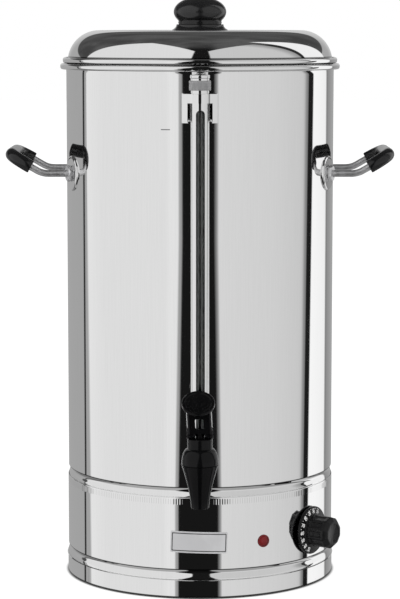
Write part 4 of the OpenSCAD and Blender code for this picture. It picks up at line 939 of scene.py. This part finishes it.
def make_bracket():
    """Strap round the guard tube with two legs, bent back to the tank"""
    ring = [(10.35 * sin(radians(a)), -10.35 * cos(radians(a)))
            for a in range(0, 53, 4)]
    wing = fillet([ring[-1], (9.65, -4.45), (17.45, -0.9), (17.45, 16.1)], [0, 1.3, 2.2, 0], 8,
                  False)
    half = ring + wing[1:]
    plan = [(-x, y) for x, y in reversed(half[1:])] + half
    leg_edge = 11.92
    dense = []
    for a, b in zip(plan, plan[1:]):
        dense.append(a)
        for edge in (-11.95, -11.9, 11.9, 11.95):
            if a[0] < edge < b[0]:
                t = (edge - a[0]) / (b[0] - a[0])
                dense.append((edge, a[1] + (b[1] - a[1]) * t))
    dense.append(plan[-1])
    top, low, legs = GUARD_TOP, GUARD_TOP - 8.8, GUARD_TOP - 27.6
    points, sides = [], []
    for offset in (0.0, 1.5):
        columns = []
        for i, (x, y) in enumerate(dense):
            d = (Vector(dense[min(i + 1, len(dense) - 1)])
                 - Vector(dense[max(i - 1, 0)])).normalized()
            px, py = x - d.y * offset, y + d.x * offset
            bottom = legs if abs(x) > leg_edge else low
            columns.append(add_row(points, [(px, GAUGE_Y + py, bottom + (top - bottom) * s)
                                            for s in (0, 0.02, 0.25, 0.5, 0.75, 0.98, 1)]))
        sides.append(columns)
    build("gauge_strap", "small_steel", (points, sheet(*sides)), nodes=["gauge_bracket"], sharp=38)


# ---- tap ----

def make_shank():
    """Threaded pipe through the wall, its nut, and the tee up to the gauge"""
    bar = fillet([(6, 117.2), (9.5, 117.2), (9.5, 167.5), (6, 167.5)], [0, 0.8, 0.3, 0], 4)
    tee = fillet([(3.8, SHANK_Z + 6), (9.0, SHANK_Z), (9.0, TEE_TOP), (7.5, TEE_TOP),
                  (7.5, TEE_TOP - 10), (3.8, TEE_TOP - 10)], [0, 0, 0.8, 0.5, 0, 0], 4)
    build("tap_pipe", "small_steel", turned(bar, 96, SHANK), turned(tee, 96, GAUGE),
          nut(SHANK, 138.5, 26, 9.5, 4.0), nodes=["tap_shank"], sharp=24)


def make_tap_body():
    """Spout with its boss on the shank, and the domed bonnet"""
    line = shifted(0, OUTLET_Z, [(6.5, 0.4), (6.9, 0), (8.2, 0), (8.6, 0.35)])
    line += [(8.65 + 9.1 * (k / 28) ** 1.53, OUTLET_Z + 42 * k / 28) for k in range(1, 28)]
    line += shifted(0, BODY_TOP, [(17.55, -0.5), (17.72, -0.2), (17.5, 0), (13.5, 0), (13.5, 10),
                                  (10.5, 10)]) + [(10.5, 124), (6.5, 124)]
    boss = fillet([(9.5, 161.5), (12.0, 161.5), (12.0, 172), (9.5, 172)], [0, 0.8, 0, 0], 4)
    boss = [(r, z - 0.95) for r, z in boss]
    build("tap_spout", BLACK, turned(line, 128, TAP), turned(boss, 96, SHANK),
          nodes=["tap_body"], slot=BLACK)
    foot, rise = BONNET_FOOT, 15.5
    dome = shifted(0, foot, [(17.2, 0), (17.6, 0.15), (17.75, 0.5)])
    dome += arc_points(12, foot, 5.75, 4, 84, 20, rise)
    dome += shifted(0, foot + rise, [(12.35, 0.02), (12.08, 0.3), (12.0, 0.8)])
    dome += shifted(0, BONNET_TOP, [(12.0, -1.5), (11.9, -0.9), (11.5, -0.3), (10.9, 0),
                                    (4.3, 0), (4.05, -0.3), (4.05, -5), (8.5, -5)])
    dome += [(8.5, 152.6), (13.55, 152.6), (13.55, foot)]
    build("tap_cap", BLACK, turned(dome, 128, TAP), nodes=["tap_bonnet"], slot=BLACK)


def lever_point(x, forward, up):
    return Vector((x - LEAN * max(up, 0.0), TAP_Y - forward, PIN_Z + up))


def make_lever():
    """Channel-shaped lever with a window in its web, heel on the bonnet and a round pad"""
    tilt, pad_forward, pad_up, half = radians(36), 5.29, 29.5, 12.3
    channel = fillet([(-half, -1), (-half + 1.0, 11.5), (half - 1.0, 11.5), (half, -1), (9.3, -1),
                      (9.0, 8.5), (-9.0, 8.5), (-9.3, -1)],
                     [0.5, 2.0, 2.0, 0.5, 0.6, 1.2, 1.2, 0.6], 6)

    def top_of(forward):
        """Height of the pad's underside above the pin"""
        return pad_up - (forward - pad_forward) * tan(tilt) - 2.6 / cos(tilt)

    points = []
    rows = [add_row(points, [lever_point(x, f, -0.3 + (top_of(f) + 0.3) * share)
                             for x, f in channel])
            for share in (0, 0.02, 0.1, 0.2, 0.35, 0.5, 0.65, 0.8, 0.9, 1.0)]
    body = build("lever", BLACK, (points, prism(rows)), nodes=["tap_lever"],
                 body="tap_handle", slot=BLACK, sharp=25)
    window = rounded_block((-4.1, 5, 4.8), (4.1, 14, 14.2), 1.2)
    mouth = rounded_block((-9.05, 8.3, -3), (9.05, 14, 0.1), 0.05)
    for cutter in (window, mouth):
        cut(body, cutter)

    heel = arc_points(0, 0, 5.5, 90, 270, 18) + arc_points(5.0, 0, 5.5, 270, 450, 18)
    web = fillet([(-5.1, -4.6), (-3.9, -4.6), (-3.9, -0.8), (-5.1, -0.8)], 0.3, 3)
    pad = [(0, -4.0), (14.4, -4.0), (15.0, -3.85), (15.5, -3.4), (15.8, -2.7), (15.8, -1.0),
           (15.68, -0.5), (15.35, -0.12), (14.9, 0), (13.1, 0), (12.7, -0.1), (12.45, -0.4),
           (12.2, -0.75), (11.8, -0.85), (6, -0.7), (0, -0.65)]
    place = Matrix.Translation(lever_point(0, pad_forward, pad_up)) @ Matrix.Rotation(tilt, 4, "X")
    heel_middle, web_middle = (2.5, 0), (-4.5, -2.7)
    build("lever_pad", BLACK, cheek(heel, heel_middle, -half, -4.4),
          cheek(heel, heel_middle, 4.4, half), cheek(web, web_middle, -4.6, 4.6),
          turned(pad, 128, place, closed=False), body="tap_handle", slot=BLACK,
          sharp=30)


def cheek(line, middle, low, high):
    """Block across the lever from low to high, its edges eased towards its middle"""
    points, rows = [], []
    for x, inset in ((low, 0.5), (low + 0.15, 0.15), (low + 0.5, 0), (high - 0.5, 0),
                     (high - 0.15, 0.15), (high, 0.5)):
        row = []
        for p in line:
            towards = Vector((middle[0] - p[0], middle[1] - p[1])).normalized() * inset
            row.append(lever_point(x, p[0] + towards.x, p[1] + towards.y))
        rows.append(add_row(points, row))
    return points, prism(rows)


def rounded_block(low, high, radius):
    """Cutter in the lever's frame: a block with its edges along the forward axis rounded"""
    line = fillet([(low[0], low[2]), (high[0], low[2]), (high[0], high[2]), (low[0], high[2])],
                  radius, 4)
    points = []
    rows = [add_row(points, [lever_point(x, f, up) for x, up in line])
            for f in (low[1], high[1])]
    mesh = bpy.data.meshes.new("cutter")
    mesh.from_pydata([tuple(c * MM for c in p) for p in points], [], prism(rows))
    shape = bmesh.new()
    shape.from_mesh(mesh)
    bmesh.ops.recalc_face_normals(shape, faces=shape.faces)
    shape.to_mesh(mesh)
    shape.free()
    return add(bpy.data.objects.new("cutter", mesh))


def baked(thing):
    """Mesh of an object with its modifiers or its text made real"""
    bpy.context.view_layer.update()
    depsgraph = bpy.context.evaluated_depsgraph_get()
    return bpy.data.meshes.new_from_object(thing.evaluated_get(depsgraph))


def cut(piece, cutter):
    """Takes the cutter out of the piece and removes it"""
    change = piece.modifiers.new("cut", "BOOLEAN")
    change.operation, change.object, change.solver = "DIFFERENCE", cutter, "EXACT"
    mesh = baked(piece)
    piece.modifiers.clear()
    piece.data = mesh
    bpy.data.objects.remove(cutter)


# ---- dial, lamp, plate ----

GRIP_LOW, GRIP_R = 141.2, 16.0                  # foot and radius of the dial's grip
NUMBER_R, NUMBER_START, NUMBER_STEP = 19.9, 68, 22.3
HIGHEST, NUMBER_COUNT = 110, 9


def dial_shape(angle, r, z):
    """Ten-sided grip with a shallow panel in each side; the disc under it stays round"""
    if z < 140.7 or r > GRIP_R + 0.1:
        return r
    sector = TAU / 10
    off = (angle + sector / 2) % sector - sector / 2
    side = min(r * cos(sector / 2) / cos(off), r * 0.988)
    across = max(0.0, min(1.0, (radians(10.5) - abs(off)) / radians(1.6)))
    up = max(0.0, min(1.0, (z - 144.4) / 0.7)) * max(0.0, min(1.0, (157.4 - z) / 0.7))
    return side - 0.85 * across * up


def make_dial():
    """Sloping disc with a rolled edge, the grip on it, and the raised numbers"""
    place = on_wall(DIAL_AZ, DIAL_Z)
    line = [(0, 138.3), (20.4, 138.3), (20.8, 138.1), (21.2, 137.2), (21.5, 136.9), (23.5, 136.9),
            (23.9, 137.1), (24.0, 137.5), (24.0, 138.7), (23.85, 139.15), (23.4, 139.45),
            (22.9, 139.6), (17.2, 140.35), (16.6, 140.5), (16.15, 140.8)]
    line += [(GRIP_R, z) for z in (GRIP_LOW, 143.4, 144.3, 144.45, 144.7, 145.0, 145.2, 147, 150,
                                   153, 156, 156.6, 156.8, 157.1, 157.35, 157.6, 159.9, 160.4)]
    line += [(15.9, 160.75), (15.6, 161.15), (13.0, 163.8), (12.6, 164.15), (12.1, 164.3),
             (10.2, 164.3), (9.8, 164.2), (9.5, 163.9), (9.1, 163.75), (0, 163.75)]
    build("dial", "dial_black", turned(line, 280, place, closed=False, shape=dial_shape),
          nodes=["thermostat_knob"], body="thermostat_dial", slot=BLACK, sharp=24)
    upright = Matrix.Rotation(radians(-90), 4, "Z")
    marks = [numeral(str(HIGHEST - 10 * i), dial_spot(place, i, NUMBER_R) @ upright)
             for i in range(NUMBER_COUNT)]
    marks += [dot(0.42, dial_spot(place, i + 0.5, 22.0)) for i in range(NUMBER_COUNT - 1)]
    build("dial_marks", "dial_white", *marks, body="thermostat_dial", slot=BLACK, sharp=40)


def dial_spot(place, step, radius):
    """Frame on the dial's sloping face with +Y away from its middle"""
    angle = radians(NUMBER_START + NUMBER_STEP * step)
    height = 139.6 + (22.9 - radius) * 0.1316
    return (place @ Matrix.Rotation(angle - pi / 2, 4, "Z")
            @ Matrix.Translation((0, radius, height)) @ Matrix.Rotation(-0.1308, 4, "X"))


def numeral(body, place):
    """Raised number, set narrow where it has three digits"""
    size, depth, bold, lift = 4.9, 0.07, 0.17, 0.06
    curve = bpy.data.curves.new("numeral", "FONT")
    curve.body, curve.size, curve.extrude = body, size * MM, depth * MM
    curve.align_x, curve.align_y = "CENTER", "CENTER"
    curve.offset = bold * MM
    curve.resolution_u = 4
    text = add(bpy.data.objects.new("numeral", curve))
    mesh = baked(text)
    narrow = 0.68 if len(body) > 2 else 1.0
    points = [place @ Vector((v.co.x / MM * narrow, v.co.y / MM, v.co.z / MM + lift))
              for v in mesh.vertices]
    faces = [list(p.vertices) for p in mesh.polygons]
    bpy.data.objects.remove(text)
    bpy.data.meshes.remove(mesh)
    return points, faces


def dot(radius, place):
    points = []
    rows = [add_row(points, [place @ spot(radius, a, z) for a in circle(20)])
            for z in (-0.1, 0.12)]
    return points, prism(rows)


def make_lamp():
    seat = SKIRT_R + 0.05
    line = shifted(0, seat, [(0, -8), (4.8, -8), (4.8, 0), (6.0, 0), (6.25, 0.2), (6.25, 0.5),
                             (6.0, 0.85), (5.4, 1.0), (5.1, 0.95)])
    line += arc_points(0, seat + 1.0, 5.0, 0, 90, 15, 1.7)
    build("lamp_lens", "red_lens", turned(line, 96, on_wall(LAMP_AZ, LAMP_Z), closed=False),
          nodes=["pilot_lens"], slot="red_lens")


def wall_patch(width, height, r_low, r_high, place, border=0.0, corner=1.0):
    """Thin plate bent round the axis; place(x, y) gives azimuth and height.

    With a border it is a frame of that width, and otherwise it is whole."""
    outline = fillet([(-width / 2, -height / 2), (width / 2, -height / 2), (width / 2, height / 2),
                      (-width / 2, height / 2)], corner, 4)
    dense = []
    for a, b in zip(outline, outline[1:] + outline[:1]):
        count = max(1, int(dist(a, b) / 1.5))
        dense += [(a[0] + (b[0] - a[0]) * k / count, a[1] + (b[1] - a[1]) * k / count)
                  for k in range(count)]
    points = []

    def ring(radius, inset=0.0):
        row = []
        for x, y in dense:
            azimuth, z = place(x * (1 - 2 * inset / width), y * (1 - 2 * inset / height))
            row.append(Vector((radius * sin(azimuth), -radius * cos(azimuth), z)))
        return add_row(points, row)

    rows = [ring(r_low), ring(r_high)]
    if border:
        rows += [ring(r_high, border), ring(r_low, border)]
        return points, skin(rows, closed=True)
    faces = skin(rows)
    for row, way in ((rows[0], -1), (rows[1], 1)):
        columns = {}
        for index, (x, y) in zip(row, dense):
            columns.setdefault(round(x, 4), []).append((y, index))
        ends = [[sorted(column)[0][1], sorted(column)[-1][1]]
                for _, column in sorted(columns.items())]
        for left, right in zip(ends, ends[1:]):
            loop = [left[0], right[0], right[1], left[1]]
            loop = [v for j, v in enumerate(loop) if v != loop[j - 1]]
            if len(loop) > 2:
                faces.append(loop[::way])
    return points, faces


def make_plate():
    """Bare plate under the tap, a little aslant, with a thin printed border"""
    slant = radians(1.6)

    def place(x, y):
        u = x * cos(slant) + y * sin(slant) - 1.0
        v = -x * sin(slant) + y * cos(slant)
        return u / SKIRT_R, PLATE_Z + v

    base = SKIRT_R + 0.05
    build("rating_plate", "plate_silver", wall_patch(56.0, 21.2, base, base + 0.3, place),
          nodes=["label_plate"], slot="plate_silver", sharp=30)
    build("plate_border", "ink", wall_patch(53.6, 18.2, base + 0.28, base + 0.34, place, 0.95, 0.6),
          slot=BLACK, sharp=30)


def make_level_mark():
    def place(x, y):
        return radians(-14.2) + x / TANK_R, 458.5 + y

    tick = wall_patch(9.0, 0.9, TANK_R + 0.02, TANK_R + 0.06, place, corner=0.2)
    build("level_mark", "faded_ink", tick, slot=BLACK, sharp=30)


# ---- back: cord gland and cut-out ----

def ribs(angle, r, z):
    return r - (0.45 * (0.5 + 0.5 * cos(angle * 24)) if r > 10.9 else 0)


def make_back():
    place = on_wall(GLAND_AZ, GLAND_Z)
    seat = SKIRT_R + 0.1
    cap = seat + 5.1
    line = shifted(0, cap, [(5.0, 0.2), (8.1, 0), (10.6, 0), (10.95, 0.3)])
    line += [(11.0, cap + 0.6 + 7.8 * k / 6) for k in range(7)]
    line += shifted(0, cap, [(10.9, 8.8), (10.5, 9.4), (9.3, 14.6), (9.0, 15.6), (8.4, 16),
                             (5.6, 16), (5.0, 15.5)])
    build("gland_grip", BLACK, turned(line, 192, place, shape=ribs),
          nodes=["gland_cap"], slot=BLACK)
    tube = [(4.2, SKIRT_R - 9.8), (8.0, SKIRT_R - 9.8), (8.0, cap + 12.5), (4.2, cap + 12.5)]
    build("gland_base", BLACK, nut(place, seat, 24, 8.0, 5.0), turned(tube, 96, place),
          nodes=["cord_gland"], slot=BLACK, sharp=24)
    build("reset_nut", "small_steel", nut(on_wall(RESET_AZ, RESET_Z), seat, 14, 5.05, 2.5),
          nodes=["cutout_nut"], slot="plain_steel", sharp=24)


MATERIALS = make_materials()
for make in (make_camera, make_world, make_floor, make_lamps):
    make()

SLOTS = {row["node"]: row["material_slot"] for row in frame["record"]["subparts"]}
for name, solid in frame["nodes"].items():
    if name in SLOTS:
        solid.data.materials.clear()
        solid.data.materials.append(MATERIALS[NODE_LOOKS.get(name, SLOTS[name])])

for make in (make_tank, make_skirt, make_lid, make_knob, make_handles, make_plates, make_guard,
             make_glass, make_cap, make_bracket, make_shank, make_tap_body, make_lever, make_dial,
             make_lamp, make_plate, make_level_mark, make_back):
    make()
